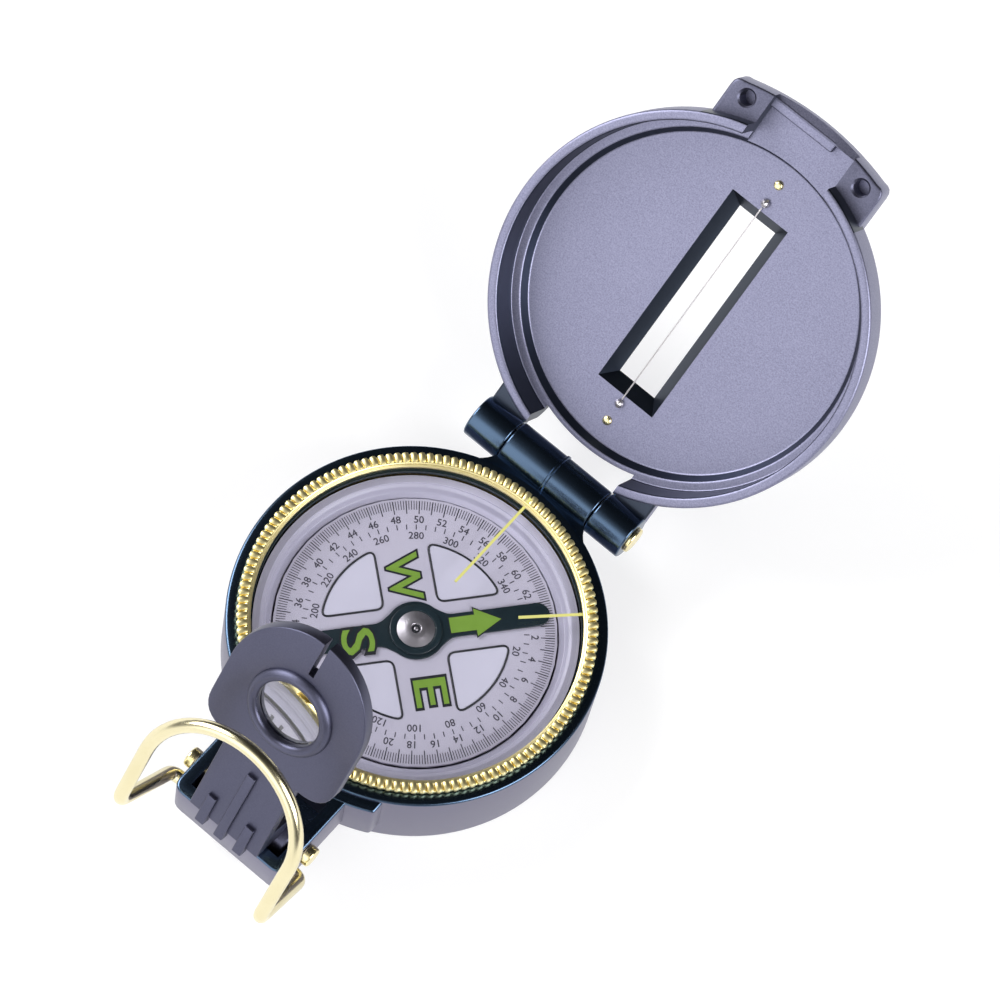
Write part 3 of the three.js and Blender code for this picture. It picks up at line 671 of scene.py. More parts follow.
@dataclass(frozen=True)
class BrightMetal:
    """Polished metal with hairline wear and a slight tarnish."""

    name: str
    colour: Colour
    tarnish: Colour
    roughness: float
    hair_scale: float = 1800.0
    hair_share: float = 0.3
    hair_rough: float = 0.05
    spot_scale: float = 160.0
    spot_detail: float = 3.0
    spot_share: float = 0.7

    def make(self) -> bpy.types.Material:
        """Build the metal's material."""
        finish = Finish(self.name)
        hairs = finish.noise(self.hair_scale)
        spots = finish.noise(self.spot_scale, self.spot_detail)
        share = spots * self.spot_share + hairs * self.hair_share
        colour = finish.blend(share, self.tarnish, self.colour)
        rough = hairs * self.hair_rough + (self.roughness - self.hair_rough * MIDDLE)
        return finish.output(finish.shader(Base_Color=colour, Metallic=1.0, Roughness=rough))


@dataclass(frozen=True)
class Matt:
    """Ink, paint or plain plastic with slight mottling."""

    name: str
    colour: Colour
    shade: Colour
    roughness: float
    scale: float = 700.0
    detail: float = 3.0
    depth: float = 0.004 * MM
    mottle_rough: float = 0.1

    def make(self) -> bpy.types.Material:
        """Build the material."""
        finish = Finish(self.name)
        mottle = finish.noise(self.scale, self.detail)
        colour = finish.blend(mottle, self.shade, self.colour)
        normal = finish.bump(mottle, self.depth)
        rough = mottle * self.mottle_rough + (self.roughness - self.mottle_rough * MIDDLE)
        return finish.output(finish.shader(Base_Color=colour, Roughness=rough, Normal=normal))


@dataclass(frozen=True)
class ClearSheet:
    """A clear sheet: see-through, with a reflection that grows at a slant and faint smears."""

    name: str
    tint: Colour
    index: float = 1.45
    haze: float = 0.02
    roughness: float = 0.04
    slant_share: float = 0.8
    smear_scale: float = 120.0
    smear_rough: float = 0.04

    def make(self) -> bpy.types.Material:
        """Build the sheet's material."""
        finish = Finish(self.name)
        smears = finish.noise(self.smear_scale)
        slant = finish.node("Fresnel", inputs={"IOR": self.index})
        behind = finish.node("NewGeometry", out="Backfacing")
        share = (slant * self.slant_share + smears * self.haze) * (1.0 - behind)
        through = finish.node("BsdfTransparent", inputs={"Color": (*self.tint, 1.0)})
        rough = smears * self.smear_rough + self.roughness
        gloss = finish.shader(Base_Color=(*self.tint, 1.0), Metallic=1.0, Roughness=rough)
        return finish.output(finish.node("MixShader", inputs={0: share, 1: through, 2: gloss}))


@dataclass(frozen=True)
class LensGlass:
    """Solid optical glass that bends what lies behind it."""

    name: str
    tint: Colour
    index: float = 1.48
    smear_scale: float = 300.0
    smear_rough: float = 0.03

    def make(self) -> bpy.types.Material:
        """Build the glass."""
        finish = Finish(self.name)
        rough = finish.noise(self.smear_scale) * self.smear_rough
        return finish.output(finish.shader(
            Base_Color=(*self.tint, 1.0), Roughness=rough, IOR=self.index, Transmission_Weight=1.0,
        ))


@dataclass
class Look:
    """Every finish of the compass, made once."""

    paint: bpy.types.Material = field(init=False)
    lid_paint: bpy.types.Material = field(init=False)
    rim_paint: bpy.types.Material = field(init=False)
    inner_paint: bpy.types.Material = field(init=False)
    latch_paint: bpy.types.Material = field(init=False)
    eye_paint: bpy.types.Material = field(init=False)
    brass: bpy.types.Material = field(init=False)
    knurl: bpy.types.Material = field(init=False)
    wire: bpy.types.Material = field(init=False)
    steel: bpy.types.Material = field(init=False)
    ink: bpy.types.Material = field(init=False)
    grey_ink: bpy.types.Material = field(init=False)
    green: bpy.types.Material = field(init=False)
    luminous: bpy.types.Material = field(init=False)
    card: bpy.types.Material = field(init=False)
    window: bpy.types.Material = field(init=False)
    enamel: bpy.types.Material = field(init=False)
    milky: bpy.types.Material = field(init=False)
    crystal: bpy.types.Material = field(init=False)
    cover: bpy.types.Material = field(init=False)
    lens: bpy.types.Material = field(init=False)

    def __post_init__(self) -> None:
        """Make the finishes."""
        self.paint = SatinPaint(
            "satin_grey_paint", colour=(0.215, 0.208, 0.285), shade=(0.163, 0.158, 0.22),
            roughness=0.40, grain=0.008 * MM).make()
        self.lid_paint = SatinPaint(
            "grained_grey_paint", colour=(0.285, 0.288, 0.405), shade=(0.175, 0.177, 0.26),
            roughness=0.45, grain=0.012 * MM, speckle=2.0).make()
        # Smoother paint, darker than the body's paint: painted shade for upward faces and the hinge barrels.
        self.rim_paint = SatinPaint(
            "smooth_painted_shade", colour=(0.085, 0.13, 0.20), shade=(0.065, 0.105, 0.17),
            roughness=0.24, grain=0.0005 * MM, speckle=0.2).make()
        # Painted shade for the lid's webs, its inner walls and the wall over the latch.
        self.inner_paint = SatinPaint(
            "wall_painted_shade", colour=(0.055, 0.065, 0.09), shade=(0.04, 0.05, 0.07),
            roughness=0.38, grain=0.002 * MM, speckle=0.6).make()
        # Painted shade for the tops of the latch block, a darker copy of the lid's paint.
        self.latch_paint = SatinPaint(
            "latch_painted_shade", colour=(0.155, 0.157, 0.225), shade=(0.10, 0.102, 0.15),
            roughness=0.45, grain=0.012 * MM, speckle=2.0).make()
        self.eye_paint = SatinPaint(
            "dark_grey_paint", colour=(0.107, 0.109, 0.165), shade=(0.078, 0.08, 0.12),
            roughness=0.42, grain=0.006 * MM, speckle=1.2).make()
        self.brass = BrightMetal(
            "polished_brass", colour=(0.93, 0.84, 0.52), tarnish=(0.84, 0.73, 0.38), roughness=0.26).make()
        self.knurl = BrightMetal(
            "knurled_brass", colour=(0.97, 0.86, 0.48), tarnish=(0.89, 0.76, 0.35), roughness=0.40).make()
        self.wire = BrightMetal(
            "bright_wire", colour=(0.82, 0.76, 0.53), tarnish=(0.71, 0.63, 0.38), roughness=0.22).make()
        self.steel = BrightMetal(
            "bright_steel", colour=(0.86, 0.82, 0.84), tarnish=(0.71, 0.68, 0.70), roughness=0.36).make()
        self.ink = Matt(
            "black_ink", colour=(0.016, 0.018, 0.022), shade=(0.010, 0.011, 0.014), roughness=0.5).make()
        self.grey_ink = Matt(
            "grey_ink", colour=(0.070, 0.066, 0.085), shade=(0.05, 0.047, 0.062), roughness=0.6).make()
        self.green = Matt(
            "green_paint", colour=(0.22, 0.38, 0.05), shade=(0.17, 0.32, 0.033), roughness=0.5).make()
        self.luminous = Matt(
            "luminous_paint", colour=(0.62, 0.60, 0.20), shade=(0.54, 0.52, 0.15), roughness=0.55).make()
        self.card = Matt(
            "card_plastic", colour=(0.56, 0.54, 0.62), shade=(0.50, 0.48, 0.56),
            roughness=0.6, scale=500.0).make()
        self.window = Matt(
            "card_window", colour=(0.66, 0.65, 0.74), shade=(0.60, 0.59, 0.68),
            roughness=0.4, scale=300.0).make()
        self.enamel = Matt(
            "black_enamel", colour=(0.012, 0.026, 0.032), shade=(0.009, 0.019, 0.024),
            roughness=0.35).make()
        self.milky = Matt(
            "milky_plastic", colour=(0.58, 0.565, 0.66), shade=(0.52, 0.505, 0.60),
            roughness=0.3, scale=200.0).make()
        self.crystal = ClearSheet("clear_crystal", tint=(0.985, 0.985, 0.995)).make()
        self.cover = ClearSheet("capsule_clear", tint=(0.98, 0.98, 0.99)).make()
        self.lens = LensGlass("lens_glass", tint=(0.97, 0.98, 0.98)).make()


def dress(node: str, material: bpy.types.Material) -> None:
    """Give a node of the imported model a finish.

    Args:
        node: The node's name.
        material: Its finish.
    """
    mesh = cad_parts[node].data
    mesh.materials.clear()
    mesh.materials.append(material)
    LOG.info("dressed %s in %s", node, material.name)


def seat(
    piece: bpy.types.Object, body: str, slot: str, materials: Sequence[bpy.types.Material],
    *nodes: str,
) -> bpy.types.Object:
    """Finish a new piece: its materials, the body that carries it and the nodes that it stands for.

    Args:
        piece: The piece.
        body: The body it rides on.
        slot: The record's material slot; not used.
        materials: Its finishes; the first covers faces that have no other.
        nodes: The nodes it replaces.

    Returns:
        The piece.
    """
    kept = [polygon.material_index for polygon in piece.data.polygons]
    piece.data.materials.clear()
    for material in materials:
        piece.data.materials.append(material)
    for polygon, index in zip(piece.data.polygons, kept):
        polygon.material_index = min(index, len(materials) - 1)
    Bench.smooth(piece)
    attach(piece, body)
    if nodes:
        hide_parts(*nodes)
    LOG.info("built %s on %s with %d faces", piece.name, body, len(piece.data.polygons))
    return piece


@dataclass
class Studio:
    """Camera, floor, world and lamps."""

    backward: Vector = field(default_factory=lambda: Vector((0.1640, -0.3095, 0.9367)))
    rightward: Vector = field(default_factory=lambda: Vector((0.7595, 0.6459, 0.0806)))
    upward: Vector = field(default_factory=lambda: Vector((-0.6300, 0.6980, 0.3410)))
    distance: float = 699.3 * MM
    focal_pixels: float = 4707.5
    image_pixels: float = 1000.0
    centre_right: float = 90.6
    centre_up: float = 157.3
    sensor: float = 36.0
    nearest: float = 0.01
    floor_size: float = 6.0
    floor_shade: float = 0.55
    floor_glow: float = 0.5
    glow_from: Triple = (-0.12, -0.90, 0.42)
    glow: tuple[Pair, ...] = ((0.55, 0.010), (0.80, 0.22), (0.92, 0.95), (1.0, 1.0))
    glow_strength: float = 2.0
    middle: Triple = (0.0, 0.0, 0.02)
    left_lamp: Triple = (-0.74, -0.12, 0.60)
    right_lamp: Triple = (0.75, -0.05, 0.58)
    lamp_size: float = 0.6
    lamp_watts: float = 9.0

    def camera(self) -> None:
        """Stand the camera where the photograph was taken from."""
        data = bpy.data.cameras.new("camera")
        data.sensor_width = self.sensor
        data.clip_start = self.nearest
        across = self.centre_right / self.focal_pixels
        aloft = self.centre_up / self.focal_pixels
        gaze = (self.rightward * across + self.upward * aloft - self.backward).normalized()
        lengthened = math.sqrt(1.0 + across**2 + aloft**2)
        data.lens = self.focal_pixels * lengthened * self.sensor / self.image_pixels
        back = -gaze
        right = self.upward.cross(back).normalized()
        up = back.cross(right)
        camera = bpy.data.objects.new("camera", data)
        turn = Matrix((right, up, back)).transposed().to_4x4()
        camera.matrix_world = Matrix.Translation(self.backward * self.distance) @ turn
        bpy.context.scene.collection.objects.link(camera)
        bpy.context.scene.camera = camera

    def floor(self) -> None:
        """Lay a plain pale floor that shows white and keeps a soft shadow."""
        Bench.clear()
        bpy.ops.mesh.primitive_plane_add(size=self.floor_size)
        floor = bpy.context.object
        floor.name = "floor"
        finish = Finish("pale_floor")
        seen = finish.node("LightPath", out="Is Camera Ray")
        for ray in ("Is Glossy Ray", "Is Transmission Ray"):
            other = finish.node("LightPath", out=ray)
            seen = finish.node("Math", {"operation": "MAXIMUM"}, {0: seen, 1: other})
        shade = (self.floor_shade, self.floor_shade, self.floor_shade, 1.0)
        plain = finish.node("BsdfDiffuse", inputs={"Color": shade})
        glow = finish.node("Emission", inputs={"Strength": self.floor_glow})
        white = finish.node("AddShader", inputs={0: plain, 1: glow})
        finish.output(finish.node("MixShader", inputs={0: seen, 1: plain, 2: white}))
        floor.data.materials.append(finish.material)

    def world(self) -> None:
        """Surround the object with a glow that is brightest low in front and dark behind and above."""
        world = bpy.data.worlds.new("studio")
        bpy.context.scene.world = world
        world.use_nodes = True
        tree = world.node_tree
        tree.nodes.clear()
        coordinate = tree.nodes.new("ShaderNodeTexCoord")
        toward = tree.nodes.new("ShaderNodeVectorMath")
        toward.operation = "DOT_PRODUCT"
        toward.inputs[1].default_value = self.glow_from
        ramp = tree.nodes.new("ShaderNodeValToRGB")
        background = tree.nodes.new("ShaderNodeBackground")
        output = tree.nodes.new("ShaderNodeOutputWorld")
        tree.links.new(coordinate.outputs["Generated"], toward.inputs[0])
        tree.links.new(toward.outputs["Value"], ramp.inputs["Fac"])
        tree.links.new(ramp.outputs["Color"], background.inputs["Color"])
        tree.links.new(background.outputs[0], output.inputs["Surface"])
        stops = ramp.color_ramp.elements
        while len(stops) < len(self.glow):
            stops.new(MIDDLE)
        for stop, (position, level) in zip(stops, self.glow):
            stop.position = position
            stop.color = (level, level, level, 1.0)
        background.inputs["Strength"].default_value = self.glow_strength

    def lamp(self, name: str, place: Triple) -> None:
        """Hang one soft square lamp that points at the object.

        Args:
            name: Its name.
            place: Where it hangs.
        """
        data = bpy.data.lights.new(name, "AREA")
        data.size = self.lamp_size
        data.energy = self.lamp_watts
        lamp = bpy.data.objects.new(name, data)
        aim = Vector(place) - Vector(self.middle)
        lamp.matrix_world = Matrix.Translation(place) @ aim.to_track_quat("Z", "Y").to_matrix().to_4x4()
        bpy.context.scene.collection.objects.link(lamp)

    def build(self) -> None:
        """Set up the whole studio."""
        bpy.context.scene.view_settings.view_transform = "Standard"
        self.camera()
        self.floor()
        self.world()
        self.lamp("left_softbox", self.left_lamp)
        self.lamp("right_softbox", self.right_lamp)


@dataclass
class Housing:
    """The cup with its hinge bridge, barrel, shoulder and tongue."""

    look: Look
    radius: float = 28.0 * MM
    height: float = 14.73 * MM
    bore: float = 26.0 * MM
    floor: float = 2.0 * MM
    foot_round: float = 0.9 * MM
    rim_round: float = 0.45 * MM
    root: float = 27.0 * MM
    hinge_y: float = HINGE_Y
    hinge_z: float = HINGE_Z
    barrel_radius: float = BARREL_RADIUS
    barrel_half: float = 8.3 * MM
    barrel_round: float = 0.35 * MM
    ridge_rise: float = 0.22 * MM
    ridge_half: float = 0.3 * MM
    bridge_fillet: float = 1.7 * MM
    fillet_reach: float = 2.04 * MM
    fillet_steps: int = 6
    bridge_steps: int = 20
    inset: float = 0.06 * MM
    ear_radius: float = 29.7 * MM
    ear_half: float = 14.1 * MM
    ear_bottom: float = 4.5 * MM
    ear_top: float = 14.2 * MM
    ear_steps: int = 40
    tongue_half: float = 10.2 * MM
    tongue_end: float = 42.3 * MM
    tongue_bottom: float = 6.3 * MM
    tongue_corner: float = 2.0 * MM
    corner_steps: int = 8
    tongue_wall: float = 2.0 * MM
    channel_floor: float = 7.8 * MM
    bail_y: float = BAIL_Y
    bail_z: float = BAIL_Z
    bail_bore: float = 1.15 * MM
    bail_pin_end: float = 9.0 * MM
    edge: float = 0.4 * MM
    facing_up: float = 0.5
    margin: float = 4.0 * MM

    def cup(self) -> bpy.types.Object:
        """Turn the cup."""
        return Bench.turned("cup", rounded([
            (0.0, 0.0, 0.0),
            (self.radius, 0.0, self.foot_round),
            (self.radius, self.height, self.rim_round),
            (self.bore, self.height, self.rim_round / 2),
            (self.bore, self.floor, self.rim_round),
            (0.0, self.floor, 0.0),
        ]))

    def bridge(self) -> bpy.types.Object:
        """Raise the bridge between the rim and the barrel, with hollow fillets at its sides.

        Returns:
            The bridge.
        """
        half = self.barrel_half - self.inset
        foot = half + self.bridge_fillet
        start = math.degrees(math.acos(foot / self.root))
        foot_y = math.sqrt(self.root**2 - foot**2) + (self.radius - self.root)
        right = rounded([
            (foot, foot_y, 0.0),
            (half, foot_y + self.bridge_fillet, self.fillet_reach),
            (half, self.hinge_y, 0.0),
        ], self.fillet_steps)
        left = [(-x, y) for x, y in reversed(right)]
        back = arc((0.0, 0.0), self.root, HALF_DEGREES - start, start, self.bridge_steps)
        bottom = self.hinge_z - self.barrel_radius + self.inset
        return Bench.prism("bridge", right + left + back, bottom, self.height - self.inset)

    def barrel(self) -> bpy.types.Object:
        """Turn the hinge barrel, with a fine parting ridge round its middle.

        Returns:
            The barrel.
        """
        plain = self.barrel_radius
        high = plain + self.ridge_rise
        half = self.barrel_half
        return Bench.rod("barrel", rounded([
            (0.0, -half, 0.0),
            (plain, -half, self.barrel_round),
            (plain, -self.ridge_half, 0.0),
            (high, -self.ridge_half / 2, 0.0),
            (high, self.ridge_half / 2, 0.0),
            (plain, self.ridge_half, 0.0),
            (plain, half, self.barrel_round),
            (0.0, half, 0.0),
        ]), (0.0, self.hinge_y, self.hinge_z), FINE)

    def ears(self) -> bpy.types.Object:
        """Raise the shoulder that carries the tongue.

        Returns:
            The shoulder.
        """
        outer = math.degrees(math.acos(self.ear_half / self.ear_radius))
        inner = math.degrees(math.acos(self.ear_half / self.root))
        outline = arc((0.0, 0.0), self.ear_radius, outer - HALF_DEGREES, -outer, self.ear_steps)
        outline += arc((0.0, 0.0), self.root, -inner, inner - HALF_DEGREES, self.ear_steps)
        shoulder = Bench.prism("ears", outline, self.ear_bottom, self.ear_top)
        Bench.soften(shoulder, self.edge)
        return shoulder

    def tongue(self) -> bpy.types.Object:
        """Raise the tongue with its rounded end.

        Returns:
            The tongue.
        """
        half = self.tongue_half
        outline = rounded([
            (-half, -self.root, 0.0),
            (-half, -self.tongue_end, self.tongue_corner),
            (half, -self.tongue_end, self.tongue_corner),
            (half, -self.root, 0.0),
        ], self.corner_steps)
        tongue = Bench.prism("tongue", outline, self.tongue_bottom, self.ear_top - self.inset)
        Bench.soften(tongue, self.edge)
        return tongue

    def channel(self) -> bpy.types.Object:
        """Make the body that hollows the tongue out."""
        half = self.tongue_half - self.tongue_wall
        low = (-half, self.tongue_wall - self.tongue_end, self.channel_floor)
        return Bench.block("channel", low, (half, self.inset - self.ear_radius, self.ear_top + self.margin))

    def build(self) -> None:
        """Build the housing from its bodies and seat it."""
        body = self.cup()
        for part in (self.bridge(), self.barrel(), self.ears(), self.tongue()):
            Bench.combine(body, part, Cut.JOIN)
        Bench.combine(body, self.channel(), Cut.REMOVE)
        for side in Side:
            ends = sorted((side.value * self.bail_pin_end, side.value * (self.tongue_half + self.margin)))
            bore = Bench.drill(self.bail_bore, *ends, (0.0, self.bail_y, self.bail_z))
            Bench.combine(body, bore, Cut.REMOVE)
        body.name = "housing"
        smooth_above = self.hinge_z - self.barrel_radius
        # Upward faces and the faces of the bridge and barrel take the smooth dark paint: smoother, and
        # darker as painted shade for the dark reflection they show.
        Bench.mark(body, lambda at, facing: (
            at.y > self.root and at.z > smooth_above or facing.z > self.facing_up))
        seat(body, "base", "painted_body", [self.look.paint, self.look.rim_paint], "base_housing")


@dataclass
class Bezel:
    """The turning ring with its bead knurl, and the marks on its crystal."""

    look: Look
    opening: float = 24.3 * MM
    skirt_bore: float = 24.75 * MM
    skirt_radius: float = 25.7 * MM
    skirt_bottom: float = 9.83 * MM
    flange_bottom: float = 15.03 * MM
    top: float = 16.12 * MM
    lip_radius: float = 24.85 * MM
    lip_parts: int = 6
    throat_parts: float = 2.0
    groove_low: float = 2.4
    groove_high: float = 2.2
    outer: float = 26.2 * MM
    beads: int = 134
    bead_ring: float = 25.58 * MM
    bead_height: float = 15.60 * MM
    bead_size: Triple = (0.86 * MM, 0.56 * MM, 0.56 * MM)
    bead_round: float = 0.42 * MM
    bead_steps: int = 2
    bead_slant: float = math.radians(9.0)
    crystal_top: float = 14.95 * MM
    line_width: float = 0.42 * MM
    line_rise: float = 0.12 * MM
    long_line: Pair = (QUARTER_DEGREES, 8.5 * MM)
    short_line: Pair = (45.0, 14.8 * MM)

    def ring(self) -> bpy.types.Object:
        """Turn the ring with its conical inner face.

        Returns:
            The ring.
        """
        lip_step = (self.top - self.flange_bottom) / self.lip_parts
        groove = (self.opening + self.lip_radius) / 2
        profile = rounded([
            (self.skirt_bore, self.skirt_bottom, 0.0),
            (self.skirt_bore, self.flange_bottom - lip_step / 4, 0.0),
            (self.opening, self.flange_bottom - lip_step / 4, 0.0),
            (self.opening, self.flange_bottom + lip_step * self.throat_parts, lip_step / 2),
            (groove, self.flange_bottom + lip_step * self.groove_low, lip_step / 2),
            (groove, self.top - lip_step * self.groove_high, lip_step / 2),
            (self.lip_radius, self.top - lip_step, lip_step),
            (self.bead_ring, self.bead_height, lip_step),
            (self.outer, self.bead_height, lip_step),
            (self.outer, self.flange_bottom, 0.0),
            (self.skirt_radius, self.flange_bottom, 0.0),
            (self.skirt_radius, self.skirt_bottom, 0.0),
        ])
        return Bench.turned("ring", profile + profile[:1], ROUND)

    def knurl(self) -> bpy.types.Object:
        """Lay one slanted bead and copy it all round the ring.

        Returns:
            The row of beads.
        """
        Bench.clear()
        bpy.ops.mesh.primitive_cube_add(size=2.0)
        bead = bpy.context.object
        Bench.place(bead, Matrix.Diagonal((*self.bead_size, 1.0)))
        Bench.soften(bead, self.bead_round, segments=self.bead_steps)
        place = Matrix.Translation((self.bead_ring, 0.0, self.bead_height))
        Bench.place(bead, place @ Matrix.Rotation(self.bead_slant, 4, "Z"))
        return Bench.around(bead, self.beads)

    def line(self, name: str, angle: float, inner: float) -> bpy.types.Object:
        """Paint one reading line on the crystal and on across the ring.

        Args:
            name: The piece's name.
            angle: Its direction in degrees from X.
            inner: The radius where it begins.

        Returns:
            The line.
        """
        half = self.line_width / 2
        low = self.crystal_top
        high = self.bead_height + self.bead_size[2]
        rise = self.line_rise
        section = [
            (inner, low), (self.opening, low), (self.lip_radius, high - rise * 2), (self.bead_ring, high),
            (self.bead_ring, high + rise), (self.lip_radius, high - rise), (self.opening, low + rise),
            (inner, low + rise),
        ]
        stripe = Bench.wall(name, section, -half, half)
        return Bench.place(stripe, Matrix.Rotation(math.radians(angle - QUARTER_DEGREES), 4, "Z"))

    def build(self) -> None:
        """Build the ring, its beads and the reading lines, and seat them."""
        ring = Bench.gather("knurled_ring", [self.ring(), self.knurl()])
        seat(ring, "bezel", "brass", [self.look.knurl], "bezel_ring")
        for name, place in (("long", self.long_line), ("short", self.short_line)):
            line = self.line(f"{name}_reading_line", *place)
            seat(line, "bezel", "luminous", [self.look.luminous], f"{name}_luminous_line")


@dataclass
class Capsule:
    """The pale bowl that the card floats in, and the ring that keeps the crystal in the bezel, in black
    enamel as painted shade for the dark gap inside the bezel.
    """

    look: Look
    bottom: float = 2.1 * MM
    floor: float = 3.7 * MM
    shelf: float = 10.95 * MM
    top: float = 12.83 * MM
    radius: float = 23.95 * MM
    inner: float = 22.3 * MM
    well: float = 21.1 * MM
    step: float = 0.5 * MM
    edge: float = 0.25 * MM
    retainer_inner: float = 24.15 * MM
    retainer_outer: float = 24.65 * MM
    retainer_bottom: float = 13.15 * MM
    retainer_top: float = 13.93 * MM

    def bowl(self) -> bpy.types.Object:
        """Turn the bowl with the shelf round the card."""
        return Bench.turned("bowl", rounded([
            (0.0, self.bottom, 0.0),
            (self.radius, self.bottom, 0.0),
            (self.radius, self.top, 0.0),
            (self.inner + self.step, self.top, self.edge / 2),
            (self.inner + self.step, self.top - self.edge, 0.0),
            (self.inner, self.top - self.step, self.edge),
            (self.inner - self.step / 2, self.shelf, self.edge),
            (self.well, self.shelf, self.edge),
            (self.well, self.floor, 0.0),
            (0.0, self.floor, 0.0),
        ]))

    def retainer(self) -> bpy.types.Object:
        """Turn the ring under the crystal, painted black as painted shade for the gap between the bezel and
        the card.
        """
        profile = [
            (self.retainer_inner, self.retainer_bottom),
            (self.retainer_outer, self.retainer_bottom),
            (self.retainer_outer, self.retainer_top),
            (self.retainer_inner, self.retainer_top),
        ]
        return Bench.turned("painted_shade_ring", profile + profile[:1])

    def build(self) -> None:
        """Build the bowl and the ring and seat them."""
        seat(self.bowl(), "base", "clear_plastic", [self.look.milky], "capsule_bowl", "capsule_seal")
        # Black enamel on this ring is painted shade for the dark gap between the bezel and the card.
        seat(self.retainer(), "bezel", "black_enamel", [self.look.enamel], "crystal_retainer")


@dataclass
class Hub:
    """The black washer and the bright cap in the middle of the card."""

    look: Look
    washer_radius: float = 3.9 * MM
    washer_bottom: float = 11.74 * MM
    washer_top: float = 12.10 * MM
    washer_lip: float = 3.08 * MM
    cap_radius: float = 2.8 * MM
    cap_bottom: float = 12.02 * MM
    cap_top: float = 12.5 * MM
    shoulder_radius: float = 1.45 * MM
    pit_radius: float = 0.75 * MM
    pit_depth: float = 0.3 * MM
    stud_radius: float = 0.3 * MM
    shoulder_parts: int = 3
    edge: float = 0.1 * MM

    def washer(self) -> bpy.types.Object:
        """Turn the rounded black washer."""
        return Bench.turned("washer", rounded([
            (0.0, self.washer_bottom, 0.0),
            (self.washer_radius, self.washer_bottom, 0.0),
            (self.washer_radius, self.washer_top, self.edge * 2),
            (self.washer_lip, self.washer_top, self.edge),
            (self.cap_radius, self.cap_bottom, 0.0),
            (0.0, self.cap_bottom, 0.0),
        ]), FINE)

    def cap(self) -> bpy.types.Object:
        """Turn the conical cap with the stud in its pit."""
        pit = self.cap_top - self.pit_depth
        return Bench.turned("cap", rounded([
            (0.0, self.cap_bottom, 0.0),
            (self.cap_radius, self.cap_bottom, 0.0),
            (self.cap_radius, self.cap_bottom + self.edge, 0.0),
            (self.shoulder_radius, self.cap_top - self.edge / 2, self.edge * self.shoulder_parts),
            (self.pit_radius, self.cap_top, self.edge),
            (self.pit_radius - self.edge, pit, 0.0),
            (self.stud_radius, pit, 0.0),
            (self.stud_radius, self.cap_top - self.edge, self.edge),
            (0.0, self.cap_top - self.edge, 0.0),
        ]), FINE)

    def build(self) -> None:
        """Build the washer and the cap and seat them."""
        seat(self.washer(), "card", "black_enamel", [self.look.enamel], "hub_washer")
        cap = self.cap()
        floor = self.cap_top - self.pit_depth + self.edge
        reach = self.pit_radius - self.edge / 2
        # Faces inside the pit take black ink: painted shade in the recess round the stud.
        Bench.mark(cap, lambda at, facing: at.to_2d().length < reach and self.washer_top < at.z < floor)
        seat(cap, "card", "steel", [self.look.steel, self.look.ink], "hub_cap")


@dataclass
class NeedleBar:
    """The dark magnet bar, flared round the hub."""

    look: Look
    north: float = math.radians(NORTH)
    half_length: float = 20.0 * MM
    half_width: float = 1.8 * MM
    bottom: float = 11.33 * MM
    top: float = BAR_TOP
    plate: float = 4.5 * MM
    neck: float = 5.1 * MM
    flare: float = 42.0
    fillet: float = 0.9 * MM
    fillet_steps: int = 5
    cap_steps: int = 10
    plate_steps: int = 20
    edge: float = 0.08 * MM

    def build(self) -> None:
        """Raise the bar and seat it."""
        half = self.half_width
        straight = self.half_length - half
        x = self.plate * math.cos(math.radians(self.flare))
        y = self.plate * math.sin(math.radians(self.flare))
        tip = arc((straight, 0.0), half, -QUARTER_DEGREES, QUARTER_DEGREES, self.cap_steps)
        cap = [(*point, 0.0) for point in tip]
        rim = arc((0.0, 0.0), self.plate, self.flare, HALF_DEGREES - self.flare, self.plate_steps)
        disc = [(*point, 0.0) for point in rim]
        side = [*cap, (self.neck, half, self.fillet), (x, y, 0.0), *disc[1:-1], (-x, y, 0.0)]
        side.append((-self.neck, half, self.fillet))
        turned_round = [(-px, -py, reach) for px, py, reach in side]
        outline = rounded([*side, *turned_round], self.fillet_steps, closed=True)
        bar = Bench.prism("magnet_bar", outline, self.bottom, self.top)
        Bench.soften(bar, self.edge)
        Bench.place(bar, Matrix.Rotation(self.north, 4, "Z"))
        seat(bar, "card", "black_enamel", [self.look.enamel], "needle_bar")


